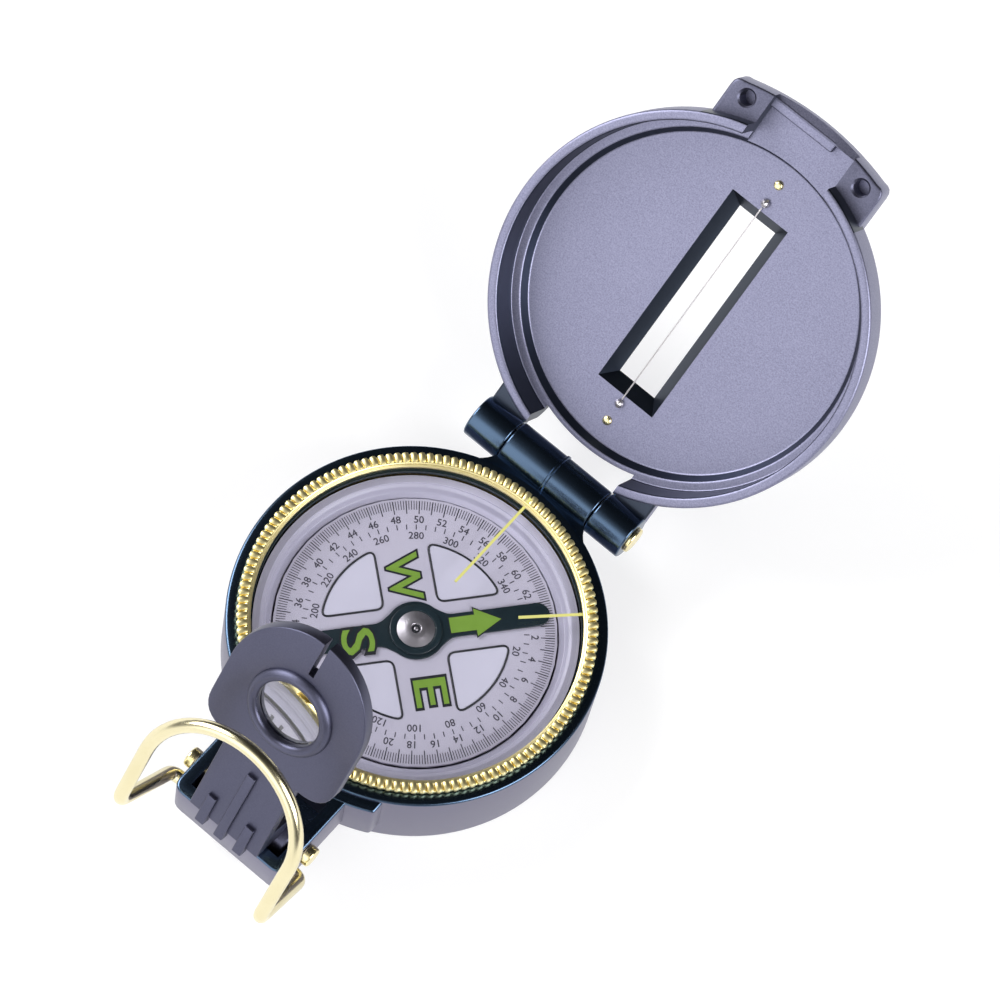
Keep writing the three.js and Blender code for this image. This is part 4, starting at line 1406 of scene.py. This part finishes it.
@dataclass
class DialPrint:
    """Everything printed on the card: two scales, four windows, the letters and the arrow."""

    look: Look
    north: float = NORTH
    surface: float = 11.28 * MM
    bar_top: float = BAR_TOP
    thickness: float = 0.02 * MM
    mil_ticks: int = 320
    mil_marks: int = 64
    mil_last: int = 62
    mil_step: int = 2
    degree_marks: int = 72
    degree_last: int = 340
    degree_step: int = 20
    mil_inner: float = 19.1 * MM
    mil_mark_inner: float = 18.45 * MM
    mil_outer: float = 20.5 * MM
    mil_label: float = 17.5 * MM
    degree_inner: float = 15.95 * MM
    degree_outer: float = 16.75 * MM
    degree_label: float = 14.95 * MM
    fine_width: float = 0.11 * MM
    mark_width: float = 0.15 * MM
    label_size: float = 1.55 * MM
    label_weight: float = 0.02 * MM
    letter_size: float = 6.75 * MM
    letter_weight: float = 0.08 * MM
    letter_border: float = 0.3 * MM
    west: Triple = (-6.9 * MM, 5.1 * MM, 1.03)
    east: Triple = (7.5 * MM, -5.8 * MM, 1.5)
    south: Triple = (-5.3 * MM, -7.2 * MM, 1.45)
    window_apex: float = 5.7 * MM
    window_arc: float = 13.9 * MM
    window_round: float = 1.2 * MM
    window_line: float = 0.17 * MM
    window_count: int = 4
    window_bearing: float = 45.0
    window_steps: int = 16
    corner_steps: int = 5
    line_steps: int = 2
    arrow_start: float = 5.1 * MM
    arrow_neck: float = 8.9 * MM
    arrow_tip: float = 12.75 * MM
    arrow_half: float = 1.2 * MM
    arrow_head: float = 2.15 * MM
    arrow_border: float = 0.16 * MM

    def at_bearing(self, bearing: float) -> Matrix:
        """The turn from the X axis to a bearing on the card.

        Args:
            bearing: Degrees clockwise from north.

        Returns:
            The turn about Z.
        """
        return Matrix.Rotation(math.radians(self.north - bearing), 4, "Z")

    def ticks(self, count: int, inner: float, outer: float, width: float) -> bpy.types.Object:
        """Print one row of ticks round the card.

        Args:
            count: How many there are.
            inner: The radius of their inner ends.
            outer: The radius of their outer ends.
            width: How wide each is.

        Returns:
            The row.
        """
        low = (inner, -width / 2, self.surface)
        tick = Bench.block("tick", low, (outer, width / 2, self.surface + self.thickness))
        return Bench.around(Bench.place(tick, self.at_bearing(0.0)), count)

    def labels(self, last: int, step: int, full: float, radius: float) -> list[bpy.types.Object]:
        """Print one row of numbers, their tops outward.

        Args:
            last: The last number.
            step: From one number to the next.
            full: What the whole circle counts.
            radius: The radius of their middles.

        Returns:
            The numbers.
        """
        numbers = []
        for number in range(step, last + step, step):
            text = Bench.lettering(str(number), self.label_size, self.thickness, self.label_weight)
            out = Matrix.Translation((radius, 0.0, self.surface + self.thickness / 2))
            upright = Matrix.Rotation(-QUARTER_TURN, 4, "Z")
            numbers.append(Bench.place(text, self.at_bearing(FULL_DEGREES * number / full) @ out @ upright))
        return numbers

    def window_outline(self) -> list[Pair]:
        """The outline of the window that lies along +X.

        Returns:
            Its points.
        """
        apex = self.window_apex
        side = (math.sqrt(2 * self.window_arc**2 - apex**2) - apex) / 2
        spread = math.degrees(math.atan2(side, apex + side))
        inset = math.degrees(self.window_round / self.window_arc)
        corner = self.window_round
        curve = arc((0.0, 0.0), self.window_arc, inset - spread, spread - inset, self.window_steps)
        bow = [(x, y, 0.0) for x, y in curve]
        corners = [(apex, 0.0, corner), (apex + side, -side, corner), *bow, (apex + side, side, corner)]
        return rounded(corners, self.corner_steps, closed=True)

    def windows(self) -> tuple[bpy.types.Object, bpy.types.Object]:
        """Print the four windows.

        Returns:
            Their clear fillings and their outlines.
        """
        outline = self.window_outline()
        film = Bench.prism("film", outline, self.surface, self.surface + self.thickness / 2)
        Bench.place(film, self.at_bearing(self.window_bearing))
        path = [(x, y, self.surface) for x, y in outline]
        line = Bench.tube("window_line", path, self.window_line, self.line_steps, closed=True)
        Bench.place(line, self.at_bearing(self.window_bearing))
        return Bench.around(film, self.window_count), Bench.around(line, self.window_count)

    def letter(self, letter: str, place: Triple, top: float) -> list[bpy.types.Object]:
        """Paint one letter, upright to north, with its dark border.

        Args:
            letter: The letter.
            place: Where its middle lies, and how far it is widened.
            top: The height of its upper side.

        Returns:
            The border and the letter.
        """
        turn = Matrix.Rotation(math.radians(self.north - QUARTER_DEGREES), 4, "Z")
        depth = top - self.surface
        fat = self.letter_weight + self.letter_border
        border = Bench.lettering(letter, self.letter_size, depth, fat)
        paint = Bench.lettering(letter, self.letter_size, depth + self.thickness * 2, self.letter_weight)
        x, y, wide = place
        turn = turn @ Matrix.Diagonal((wide, 1.0, 1.0, 1.0))
        for part in (border, paint):
            Bench.place(part, Matrix.Translation((x, y, self.surface + depth / 2)) @ turn)
        return [border, paint]

    def arrow(self, spread: float, top: float) -> bpy.types.Object:
        """Paint the arrow along the bar.

        Args:
            spread: How far it is fattened on every side.
            top: The height of its upper side.

        Returns:
            The arrow.
        """
        half = self.arrow_half + spread
        head = self.arrow_head + spread * 2
        neck = self.arrow_neck - spread
        outline = [
            (self.arrow_start - spread, -half), (neck, -half), (neck, -head),
            (self.arrow_tip + spread * 2, 0.0),
            (neck, head), (neck, half), (self.arrow_start - spread, half),
        ]
        arrow = Bench.prism("arrow", outline, self.bar_top, top)
        return Bench.place(arrow, self.at_bearing(0.0))

    def build(self) -> None:
        """Print the card and seat each ink."""
        fine = self.ticks(self.mil_ticks, self.mil_inner, self.mil_outer, self.fine_width)
        marks = self.ticks(self.mil_marks, self.mil_mark_inner, self.mil_outer, self.mark_width)
        degrees = self.ticks(self.degree_marks, self.degree_inner, self.degree_outer, self.mark_width)
        numbers = self.labels(self.mil_last, self.mil_step, self.mil_marks, self.mil_label)
        numbers += self.labels(self.degree_last, self.degree_step, FULL_DEGREES, self.degree_label)
        scales = Bench.gather("card_scales", [fine, marks, degrees, *numbers])
        seat(scales, "card", "black_enamel", [self.look.grey_ink])
        films, lines = self.windows()
        films.name = "card_windows"
        seat(films, "card", "card", [self.look.window])
        flat = self.surface + self.thickness * 2
        pairs = [
            self.letter("W", self.west, flat),
            self.letter("E", self.east, flat),
            self.letter("S", self.south, self.bar_top + self.thickness * 2),
        ]
        top = self.bar_top + self.thickness
        borders = [border for border, _ in pairs] + [self.arrow(self.arrow_border, top), lines]
        paints = [paint for _, paint in pairs] + [self.arrow(0.0, top + self.thickness)]
        seat(Bench.gather("dark_print", borders), "card", "black_enamel", [self.look.ink])
        seat(Bench.gather("green_print", paints), "card", "luminous", [self.look.green])


@dataclass
class Lid:
    """The sighting lid, built about its hinge axis and then swung open."""

    look: Look
    hinge_y: float = HINGE_Y
    hinge_z: float = HINGE_Z
    angle: float = math.radians(39.5)
    radius: float = 29.3 * MM
    bore: float = 27.7 * MM
    rim: float = -0.45 * MM
    ledge: float = -6.75 * MM
    ledge_inner: float = 26.3 * MM
    floor: float = -8.45 * MM
    floor_radius: float = 25.5 * MM
    outer: float = -10.87 * MM
    side_low: float = -6.45 * MM
    edge_low: float = -7.9 * MM
    edge_radius: float = 28.5 * MM
    crown_radius: float = 25.7 * MM
    rim_round: float = 0.5 * MM
    crown_round: float = 1.2 * MM
    edge_round: float = 0.9 * MM
    small_round: float = 0.28 * MM
    barrel_radius: float = BARREL_RADIUS
    lug_inner: float = 8.45 * MM
    lug_outer: float = 14.8 * MM
    lug_round: float = 0.35 * MM
    lug_gap: float = 0.04 * MM
    web_inset: float = 0.12 * MM
    web_length: float = 7.0 * MM
    web_top: float = -0.6 * MM
    pin_bore: float = 1.5 * MM
    window_radius: float = 27.0 * MM
    slot_width: float = 10.4 * MM
    slot_length: float = 35.0 * MM
    slot_taper: float = 1.87 * MM
    latch_half: float = 13.9 * MM
    latch_start: float = 20.5 * MM
    latch_root: float = 26.8 * MM
    latch_end: float = 34.0 * MM
    latch_drop: float = 1.7 * MM
    latch_corner: float = 1.6 * MM
    bow_steps: int = 14
    root_steps: int = 16
    latch_top: float = -4.25 * MM
    latch_bottom: float = -9.0 * MM
    notch_half: float = 7.5 * MM
    notch_floor: float = -7.65 * MM
    lip: float = 1.5 * MM
    lip_top: float = -6.35 * MM
    lip_slope: float = 0.55
    pad_end: float = 3.7 * MM
    pad_width: float = 1.3 * MM
    hole_radius: float = 1.2 * MM
    hole_across: float = 10.65 * MM
    hole_reach: float = 30.45 * MM
    hole_depth: float = 3.5 * MM
    dot_radius: float = 0.75 * MM
    dot_spacing: float = 22.2 * MM
    dot_rise: float = 0.35 * MM
    dot_dome: float = 0.525 * MM
    wall_slope: float = 0.66
    edge: float = 0.4 * MM
    margin: float = 2.0 * MM

    def centred(self, piece: bpy.types.Object) -> bpy.types.Object:
        """Move a body from the hinge axis to the lid's middle."""
        return Bench.place(piece, Matrix.Translation((0.0, self.hinge_y, 0.0)))

    def dish(self) -> bpy.types.Object:
        """Turn the lid's shell, with the ledge and the sloping floor edge inside it."""
        return self.centred(Bench.turned("dish", rounded([
            (0.0, self.outer, 0.0),
            (self.crown_radius, self.outer, self.crown_round),
            (self.edge_radius, self.edge_low, self.edge_round),
            (self.radius, self.side_low, self.rim_round),
            (self.radius, self.rim, self.rim_round),
            (self.bore, self.rim, self.rim_round),
            (self.bore, self.ledge, self.small_round),
            (self.ledge_inner, self.ledge, self.small_round),
            (self.floor_radius, self.floor, self.small_round),
            (0.0, self.floor, 0.0),
        ])))

    def rooted(self, part: bpy.types.Object, low: float) -> bpy.types.Object:
        """Cut a part back to the middle of the shell's wall.

        Args:
            part: The part, which is to be joined to the shell.
            low: The height from which it is cut.

        Returns:
            The part, with its root inside the wall.
        """
        radius = (self.bore + self.radius) / 2
        high = self.barrel_radius + self.margin
        hollow = Bench.turned("hollow", [(0.0, low), (radius, low), (radius, high), (0.0, high)])
        return Bench.combine(part, self.centred(hollow), Cut.REMOVE)

    def lug(self, side: Side) -> bpy.types.Object:
        """Make one hinge lug with the web that carries it.

        Args:
            side: Which lug it is.

        Returns:
            The lug.
        """
        ends = sorted((side.value * self.lug_inner, side.value * self.lug_outer))
        barrel = Bench.rod("lug", rounded([
            (0.0, ends[0], 0.0),
            (self.barrel_radius, ends[0], self.lug_round),
            (self.barrel_radius, ends[1], self.lug_round),
            (0.0, ends[1], 0.0),
        ]), (0.0, 0.0, 0.0), FINE)
        low = (ends[0] + self.web_inset, 0.0, self.web_inset - self.barrel_radius)
        web = Bench.block("web", low, (ends[1] - self.web_inset, self.web_length, self.web_top))
        Bench.soften(web, self.lug_round)
        lug = Bench.combine(barrel, web, Cut.JOIN)
        return self.rooted(lug, -self.barrel_radius - self.margin)

    def window(self) -> bpy.types.Object:
        """Make the body that opens the wall for the housing's barrel."""
        half = self.lug_inner - self.lug_gap
        low = (-half, -self.barrel_radius - self.margin, self.outer - self.margin)
        high = (half, self.hinge_y / 2, self.barrel_radius + self.margin)
        across = Bench.block("window", low, high)
        kept = Bench.turned("kept", [
            (0.0, low[2] - self.margin),
            (self.window_radius, low[2] - self.margin),
            (self.window_radius, high[2] + self.margin),
            (0.0, high[2] + self.margin),
        ])
        Bench.place(kept, Matrix.Rotation(OFF_TURN, 4, "Z"))
        return Bench.combine(across, self.centred(kept), Cut.REMOVE)

    def latch(self) -> bpy.types.Object:
        """Raise the block at the lid's far end.

        Returns:
            The block.
        """
        half = self.latch_half
        corner = self.latch_end - self.latch_drop
        bow_half = half - self.latch_corner
        bow = rounded([
            (bow_half, corner, 0.0),
            (0.0, self.latch_end + self.latch_drop, math.hypot(bow_half, self.latch_drop * 2)),
            (-bow_half, corner, 0.0),
        ], self.bow_steps)
        spread = math.degrees(math.acos(half / self.latch_root))
        root = arc((0.0, 0.0), self.latch_root, HALF_DEGREES - spread, spread, self.root_steps)
        outline = rounded([
            *[(x, y, 0.0) for x, y in root],
            (half, corner, self.latch_corner),
            *[(x, y, 0.0) for x, y in bow[1:-1]],
            (-half, corner, self.latch_corner),
        ], closed=True)
        block = Bench.prism("latch", outline, self.latch_bottom, self.latch_top)
        Bench.soften(block, self.edge)
        return self.rooted(self.centred(block), self.ledge - self.small_round)

    def notch(self) -> bpy.types.Object:
        """Make the body that opens the latch for the eyepiece's stem and slopes its lip.

        Returns:
            The recess.
        """
        inner = self.latch_end - self.lip
        past = self.latch_end + self.margin
        fall = self.lip_top - (self.lip + self.margin) * self.lip_slope
        section = [
            (self.latch_start, self.notch_floor), (inner, self.notch_floor), (inner, self.lip_top),
            (past, fall), (past, self.margin), (self.latch_start, self.margin),
        ]
        return self.centred(Bench.wall("recess", section, -self.notch_half, self.notch_half))

    def pad(self) -> bpy.types.Object:
        """Make the thicker stretch of the lip."""
        inner = self.latch_end - self.lip
        low = (-self.notch_half - self.edge, inner - self.pad_width, self.notch_floor - self.edge)
        high = (self.pad_end, inner + self.edge, self.lip_top - self.lug_gap)
        pad = Bench.block("pad", low, high)
        Bench.soften(pad, self.small_round)
        return self.centred(pad)

    def slot(self) -> bpy.types.Object:
        """Make the body that cuts the sighting slot, wider at the floor."""
        slope = self.slot_taper / (self.floor - self.outer)
        grow = self.slot_taper + self.margin * slope
        half = (self.slot_width / 2 - grow, self.slot_length / 2 - grow)
        outline = [(-half[0], -half[1]), (half[0], -half[1]), (half[0], half[1]), (-half[0], half[1])]
        slot = Bench.prism("slot", outline, self.outer - self.margin, self.floor + self.margin)
        rise = self.margin * slope
        wide = ((self.slot_width / 2 + rise) / half[0], (self.slot_length / 2 + rise) / half[1])
        middle = (self.floor + self.outer) / 2
        for point in slot.data.vertices:
            if point.co.z > middle:
                point.co.x *= wide[0]
                point.co.y *= wide[1]
        return self.centred(slot)

    def hole(self, side: Side) -> bpy.types.Object:
        """Make the body that drills one blind hole in the latch.

        Args:
            side: Which hole it is.

        Returns:
            The drill.
        """
        bottom = self.latch_top - self.hole_depth
        flare = self.hole_radius + self.small_round * 2
        drill = Bench.turned("drill", [
            (0.0, bottom),
            (self.hole_radius, bottom),
            (self.hole_radius, self.latch_top - self.small_round),
            (flare, self.latch_top + self.small_round),
            (flare, self.latch_top + self.margin),
            (0.0, self.latch_top + self.margin),
        ], SMALL)
        place = Matrix.Translation((side.value * self.hole_across, self.hole_reach, 0.0))
        return self.centred(Bench.place(drill, place))

    def coat(self, at: Vector, facing: Vector) -> Coat:
        """Choose a face's finish: smoother with painted shade on the barrels, painted shade on the webs, the
        inner walls and the wall over the latch, and painted shade on the latch's tops.

        Args:
            at: The face's middle.
            facing: Its direction.

        Returns:
            The finish.
        """
        # The barrels take the smoother paint, painted darker as shade.
        if math.hypot(at.y, at.z) < self.barrel_radius + self.lug_round / 4:
            return Coat.SMOOTH
        on_web = at.y < self.web_length and self.web_top - self.lug_round < at.z < self.web_top + WELD
        over_latch = (
            abs(at.x) < self.latch_half and at.y > self.hinge_y + self.latch_start and at.z > self.latch_top)
        inward = Vector((-at.x, self.hinge_y - at.y)).dot(facing.to_2d()) > 0.0
        steep = -self.wall_slope < facing.z < self.wall_slope
        # Webs and steep walls, inner or over the latch, take painted shade.
        if on_web or (steep and (inward or over_latch)):
            return Coat.DARK
        # The latch's tops take painted shade.
        on_latch = at.y > self.hinge_y + self.latch_start and abs(at.z - self.latch_top) < self.edge
        return Coat.LATCH if on_latch and facing.z > self.wall_slope else Coat.GRAINED

    def open(self, piece: bpy.types.Object) -> bpy.types.Object:
        """Swing a finished piece open about the hinge."""
        hinge = Matrix.Translation((0.0, self.hinge_y, self.hinge_z))
        return Bench.place(piece, hinge @ Matrix.Rotation(self.angle, 4, "X"))

    def dot(self, name: str, end: End) -> bpy.types.Object:
        """Turn one domed sighting dot.

        Args:
            name: The piece's name.
            end: Which end of the slot it lies at.

        Returns:
            The dot, swung open.
        """
        dot = Bench.turned(name, rounded([
            (0.0, self.floor - self.small_round, 0.0),
            (self.dot_radius, self.floor - self.small_round, 0.0),
            (self.dot_radius, self.floor + self.dot_rise, self.dot_rise),
            (0.0, self.floor + self.dot_dome, 0.0),
        ]), SMALL)
        place = Matrix.Translation((0.0, end.value * self.dot_spacing, 0.0))
        return self.open(self.centred(Bench.place(dot, place)))

    def build(self) -> None:
        """Build the lid shell from its bodies, swing it open and seat it."""
        body = self.dish()
        for part in (self.latch(), self.lug(Side.LEFT), self.lug(Side.RIGHT)):
            Bench.combine(body, part, Cut.JOIN)
        past = self.lug_outer + self.margin
        cuts = [self.window(), self.notch(), self.slot(), Bench.drill(self.pin_bore, -past, past)]
        cuts += [self.hole(side) for side in Side]
        for cut in cuts:
            Bench.combine(body, cut, Cut.REMOVE)
        Bench.combine(body, self.pad(), Cut.JOIN)
        body.name = "lid"
        Bench.mark(body, self.coat)
        # The last three coats are painted shade: on the barrels, on the webs and walls, and on the latch
        # tops.
        coats = [self.look.lid_paint, self.look.rim_paint, self.look.inner_paint, self.look.latch_paint]
        seat(self.open(body), "lid", "painted_body", coats, "lid_shell")
        for end in End:
            name = end.name.lower()
            dot = self.dot(f"{name}_dot", end)
            seat(dot, "lid", "brass", [self.look.brass], f"lid_dot_{name}")


@dataclass
class Eyepiece:
    """The folding sight with its lens, built about its pin and then raised."""

    look: Look
    pin_y: float = EYE_PIN_Y
    pin_z: float = EYE_PIN_Z
    angle: float = math.radians(62.0)
    knuckle_radius: float = 2.8 * MM
    knuckle_half: float = 7.8 * MM
    pin_bore: float = 1.4 * MM
    neck_start: float = 1.2 * MM
    neck_end: float = 5.0 * MM
    neck_inset: float = 0.08 * MM
    plate_inner: float = 5.9 * MM
    plate_outer: float = 8.0 * MM
    stem_half: float = 6.3 * MM
    stem_start: float = 0.9 * MM
    disc_half: float = 11.5 * MM
    lobe_bottom: float = 16.5 * MM
    lobe_round: float = 4.8 * MM
    lobe_root: float = 0.3 * MM
    disc_centre: float = 29.0 * MM
    disc_top: float = 42.0 * MM
    crown_steps: int = 48
    corner_steps: int = 8
    slot_half: float = 0.46 * MM
    slot_length: float = 6.3 * MM
    lens_centre: float = 27.7 * MM
    aperture: float = 5.15 * MM
    pocket: float = 6.25 * MM
    seat_height: float = 6.8 * MM
    lens_radius: float = 6.0 * MM
    lens_middle: float = 7.4 * MM
    lens_edge: float = 0.5 * MM
    lens_bulge: float = 0.46 * MM
    lens_steps: int = 10
    collar_outer: float = 6.95 * MM
    collar_top: float = 9.2 * MM
    rib_half: float = 0.8 * MM
    rib_rise: float = 0.6 * MM
    rib_spacing: float = 3.5 * MM
    rib_start: float = -0.5 * MM
    long_rib: float = 13.9 * MM
    short_rib: float = 5.7 * MM
    edge: float = 0.45 * MM
    rib_edge: float = 0.2 * MM
    margin: float = 3.0 * MM

    def raised(self, piece: bpy.types.Object) -> bpy.types.Object:
        """Turn a finished piece from the pin's frame to its raised place."""
        pin = Matrix.Translation((0.0, self.pin_y, self.pin_z))
        return Bench.place(piece, pin @ Matrix.Rotation(self.angle, 4, "X"))

    def at_lens(self, piece: bpy.types.Object) -> bpy.types.Object:
        """Move a body to the lens's middle."""
        return Bench.place(piece, Matrix.Translation((0.0, self.lens_centre, 0.0)))

    def turned_at_lens(self) -> Matrix:
        """A small turn about the lens's axis, so that a cutter's points miss other edges."""
        to_lens = Matrix.Translation((0.0, self.lens_centre, 0.0))
        return to_lens @ Matrix.Rotation(OFF_TURN, 4, "Z") @ to_lens.inverted()

    def plate(self) -> bpy.types.Object:
        """Raise the plate: a stem that ends in a broad disc.

        Returns:
            The plate.
        """
        height = self.disc_top - self.disc_centre
        half = self.disc_half
        half_circle = arc((0.0, 0.0), 1.0, 0.0, HALF_DEGREES, self.crown_steps)
        crown = [(x * half, self.disc_centre + y * height) for x, y in half_circle]
        outline = rounded([
            (-self.stem_half, self.stem_start, 0.0),
            (self.stem_half, self.stem_start, 0.0),
            (self.stem_half, self.lobe_bottom, self.lobe_root),
            (half, self.lobe_bottom, self.lobe_round),
            *[(x, y, 0.0) for x, y in crown],
            (-half, self.lobe_bottom, self.lobe_round),
            (-self.stem_half, self.lobe_bottom, self.lobe_root),
        ], self.corner_steps, closed=True)
        plate = Bench.prism("plate", outline, self.plate_inner, self.plate_outer)
        Bench.soften(plate, self.edge)
        return plate

    def rib(self, x: float, length: float) -> bpy.types.Object:
        """Raise one rib on the stem.

        Args:
            x: Where it lies across the stem.
            length: How long it is.

        Returns:
            The rib.
        """
        low = (x - self.rib_half, self.rib_start, (self.plate_inner + self.plate_outer) / 2)
        high = (x + self.rib_half, self.rib_start + length, self.plate_outer + self.rib_rise)
        rib = Bench.block("rib", low, high)
        Bench.soften(rib, self.rib_edge)
        return rib

    def cylinder(self, radius: float, bottom: float) -> bpy.types.Object:
        """Make a round cutter at the lens, from a height upwards."""
        top = self.plate_outer + self.margin
        profile = [(0.0, bottom), (radius, bottom), (radius, top), (0.0, top)]
        return self.at_lens(Bench.turned("cutter", profile, FINE))

    def bracket(self) -> bpy.types.Object:
        """Join and cut the bracket.

        Returns:
            The bracket, raised.
        """
        body = self.plate()
        half = self.knuckle_half
        knuckle = Bench.rod("knuckle", rounded([
            (0.0, -half, 0.0),
            (self.knuckle_radius, -half, self.edge),
            (self.knuckle_radius, half, self.edge),
            (0.0, half, 0.0),
        ]), (0.0, 0.0, 0.0), FINE)
        neck_half = self.stem_half - self.neck_inset
        neck_top = (self.plate_inner + self.plate_outer) / 2
        neck = Bench.block("neck", (-neck_half, self.neck_start, 0.0), (neck_half, self.neck_end, neck_top))
        ribs = [self.rib(0.0, self.long_rib)]
        ribs += [self.rib(side.value * self.rib_spacing, self.short_rib) for side in Side]
        for part in (neck, knuckle, *ribs):
            Bench.combine(body, part, Cut.JOIN)
        below = self.plate_inner - self.margin
        sight = Bench.block(
            "sight", (-self.slot_half, self.disc_top - self.slot_length, below),
            (self.slot_half, self.disc_top + self.margin, self.plate_outer + self.margin))
        past = half + self.margin
        cuts = (
            sight, self.cylinder(self.pocket, self.seat_height),
            Bench.place(self.cylinder(self.aperture, below), self.turned_at_lens()),
            Bench.drill(self.pin_bore, -past, past),
        )
        for cut in cuts:
            Bench.combine(body, cut, Cut.REMOVE)
        body.name = "eyepiece"
        return self.raised(body)

    def collar(self) -> bpy.types.Object:
        """Turn the raised collar that holds the lens.

        Returns:
            The collar, raised.
        """
        bottom = self.plate_outer
        crest = (self.aperture + self.collar_outer) / 2
        profile = rounded([
            (self.aperture, bottom - self.edge, 0.0),
            (self.aperture, self.collar_top - self.edge, self.edge),
            (crest, self.collar_top, self.edge),
            (self.collar_outer, bottom + self.edge, self.edge),
            (self.collar_outer, bottom - self.edge / 4, 0.0),
            (self.pocket - self.edge / 4, bottom - self.edge / 4, 0.0),
            (self.pocket - self.edge / 4, bottom - self.edge, 0.0),
        ])
        collar = Bench.turned("lens_collar", profile + profile[:1], FINE)
        return self.raised(self.at_lens(collar))

    def lens(self) -> bpy.types.Object:
        """Turn the domed lens.

        Returns:
            The lens, raised.
        """
        half = self.lens_edge / 2
        dome = []
        for step in range(self.lens_steps + 1):
            share = step / self.lens_steps
            dome.append((self.lens_radius * share, half + self.lens_bulge * (1.0 - share**2)))
        under = [(radius, self.lens_middle - rise) for radius, rise in dome]
        profile = under + [(radius, self.lens_middle + rise) for radius, rise in reversed(dome)]
        return self.raised(self.at_lens(Bench.turned("lens", profile, FINE)))

    def build(self) -> None:
        """Build the bracket, the collar and the lens, and seat them."""
        seat(self.bracket(), "eyepiece", "painted_eyepiece", [self.look.eye_paint], "eyepiece_bracket")
        seat(self.collar(), "eyepiece", "painted_eyepiece", [self.look.eye_paint], "lens_ring")
        seat(self.lens(), "eyepiece", "crystal", [self.look.lens], "eyepiece_lens")


@dataclass
class Bail:
    """The bent wire thumb loop."""

    look: Look
    wire: float = 1.08 * MM
    half: float = 13.1 * MM
    pin_end: float = 9.1 * MM
    pin_out: float = 12.2 * MM
    pivot: Pair = (BAIL_Y, BAIL_Z)
    bend: Pair = (-50.8 * MM, 20.5 * MM)
    apex: Pair = (-38.8 * MM, 42.0 * MM)
    corner: float = 2.2 * MM
    pin_corner: float = 1.5 * MM
    arch_steps: int = 32
    corner_steps: int = 6
    wire_steps: int = 6

    def path(self) -> list[Triple]:
        """The wire's middle line from pin to pin.

        Returns:
            Its points.
        """
        rise = Vector(self.apex) - Vector(self.bend)
        up = rise.normalized()
        springing = Vector(self.bend) + up * (rise.length - self.half)
        right = [
            (self.pin_end, *self.pivot, 0.0),
            (self.pin_out, *self.pivot, self.pin_corner),
            (self.half, *self.bend, self.corner),
            (self.half, *springing, 0.0),
        ]
        arch = []
        for step in range(1, self.arch_steps):
            turn = math.pi * step / self.arch_steps
            aloft = springing + up * (self.half * math.sin(turn))
            arch.append((self.half * math.cos(turn), *aloft, 0.0))
        left = [(-x, *rest) for x, *rest in reversed(right)]
        return rounded([*right, *arch, *left], self.corner_steps)

    def build(self) -> None:
        """Bend the wire and seat it."""
        wire = Bench.tube("bail", self.path(), self.wire, self.wire_steps)
        seat(wire, "bail", "brass", [self.look.wire], "bail_wire")


@dataclass
class Pins:
    """The hinge pin and the eyepiece pin with their rounded heads."""

    look: Look
    hinge: Triple = (0.0, HINGE_Y, HINGE_Z)
    hinge_radius: float = 1.2 * MM
    hinge_head: float = 2.1 * MM
    hinge_end: float = 14.8 * MM
    hinge_face: float = 14.9 * MM
    hinge_top: float = 15.5 * MM
    eyepiece: Triple = (0.0, EYE_PIN_Y, EYE_PIN_Z)
    eye_radius: float = 1.1 * MM
    eye_head: float = 1.6 * MM
    eye_face: float = 10.3 * MM
    eye_top: float = 11.75 * MM
    head_round: float = 0.4 * MM

    def build(self) -> None:
        """Turn both pins and seat them."""
        hinge = Bench.rod("hinge_rivet", rounded([
            (0.0, -self.hinge_end, 0.0),
            (self.hinge_radius, -self.hinge_end, 0.0),
            (self.hinge_radius, self.hinge_face, 0.0),
            (self.hinge_head, self.hinge_face, 0.0),
            (self.hinge_head, self.hinge_top, self.head_round),
            (0.0, self.hinge_top, 0.0),
        ]), self.hinge)
        seat(hinge, "base", "brass", [self.look.brass], "hinge_pin")
        half = [
            (self.eye_radius, self.eye_face, 0.0),
            (self.eye_head, self.eye_face, self.head_round / 2),
            (self.eye_head, self.eye_top, self.head_round),
            (0.0, self.eye_top, 0.0),
        ]
        other = [(radius, -along, turn) for radius, along, turn in reversed(half)]
        pin = Bench.rod("eyepiece_rivet", rounded([*other, *half]), self.eyepiece)
        seat(pin, "base", "brass", [self.look.brass], "eyepiece_pin")


def dress_all(look: Look) -> None:
    """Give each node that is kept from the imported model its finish.

    Args:
        look: The finishes.
    """
    finishes = {
        look.brass: ("pivot_post",),
        look.steel: ("bezel_snap_ring", "jewel_cup", "sight_wire", "wire_post_rear", "wire_post_front"),
        look.cover: ("capsule_cover",),
        look.crystal: ("bezel_crystal",),
        look.card: ("compass_card",),
    }
    for material, nodes in finishes.items():
        for node in nodes:
            dress(node, material)


def main() -> None:
    """Build the studio and dress the compass, piece by piece."""
    logging.basicConfig(level=logging.INFO, format="%(name)s: %(message)s")
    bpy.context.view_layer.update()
    Studio().build()
    look = Look()
    dress_all(look)
    for part in (Housing, Bezel, Capsule, NeedleBar, Hub, DialPrint, Lid, Eyepiece, Bail, Pins):
        part(look).build()


if __name__ == "__main__":
    main()
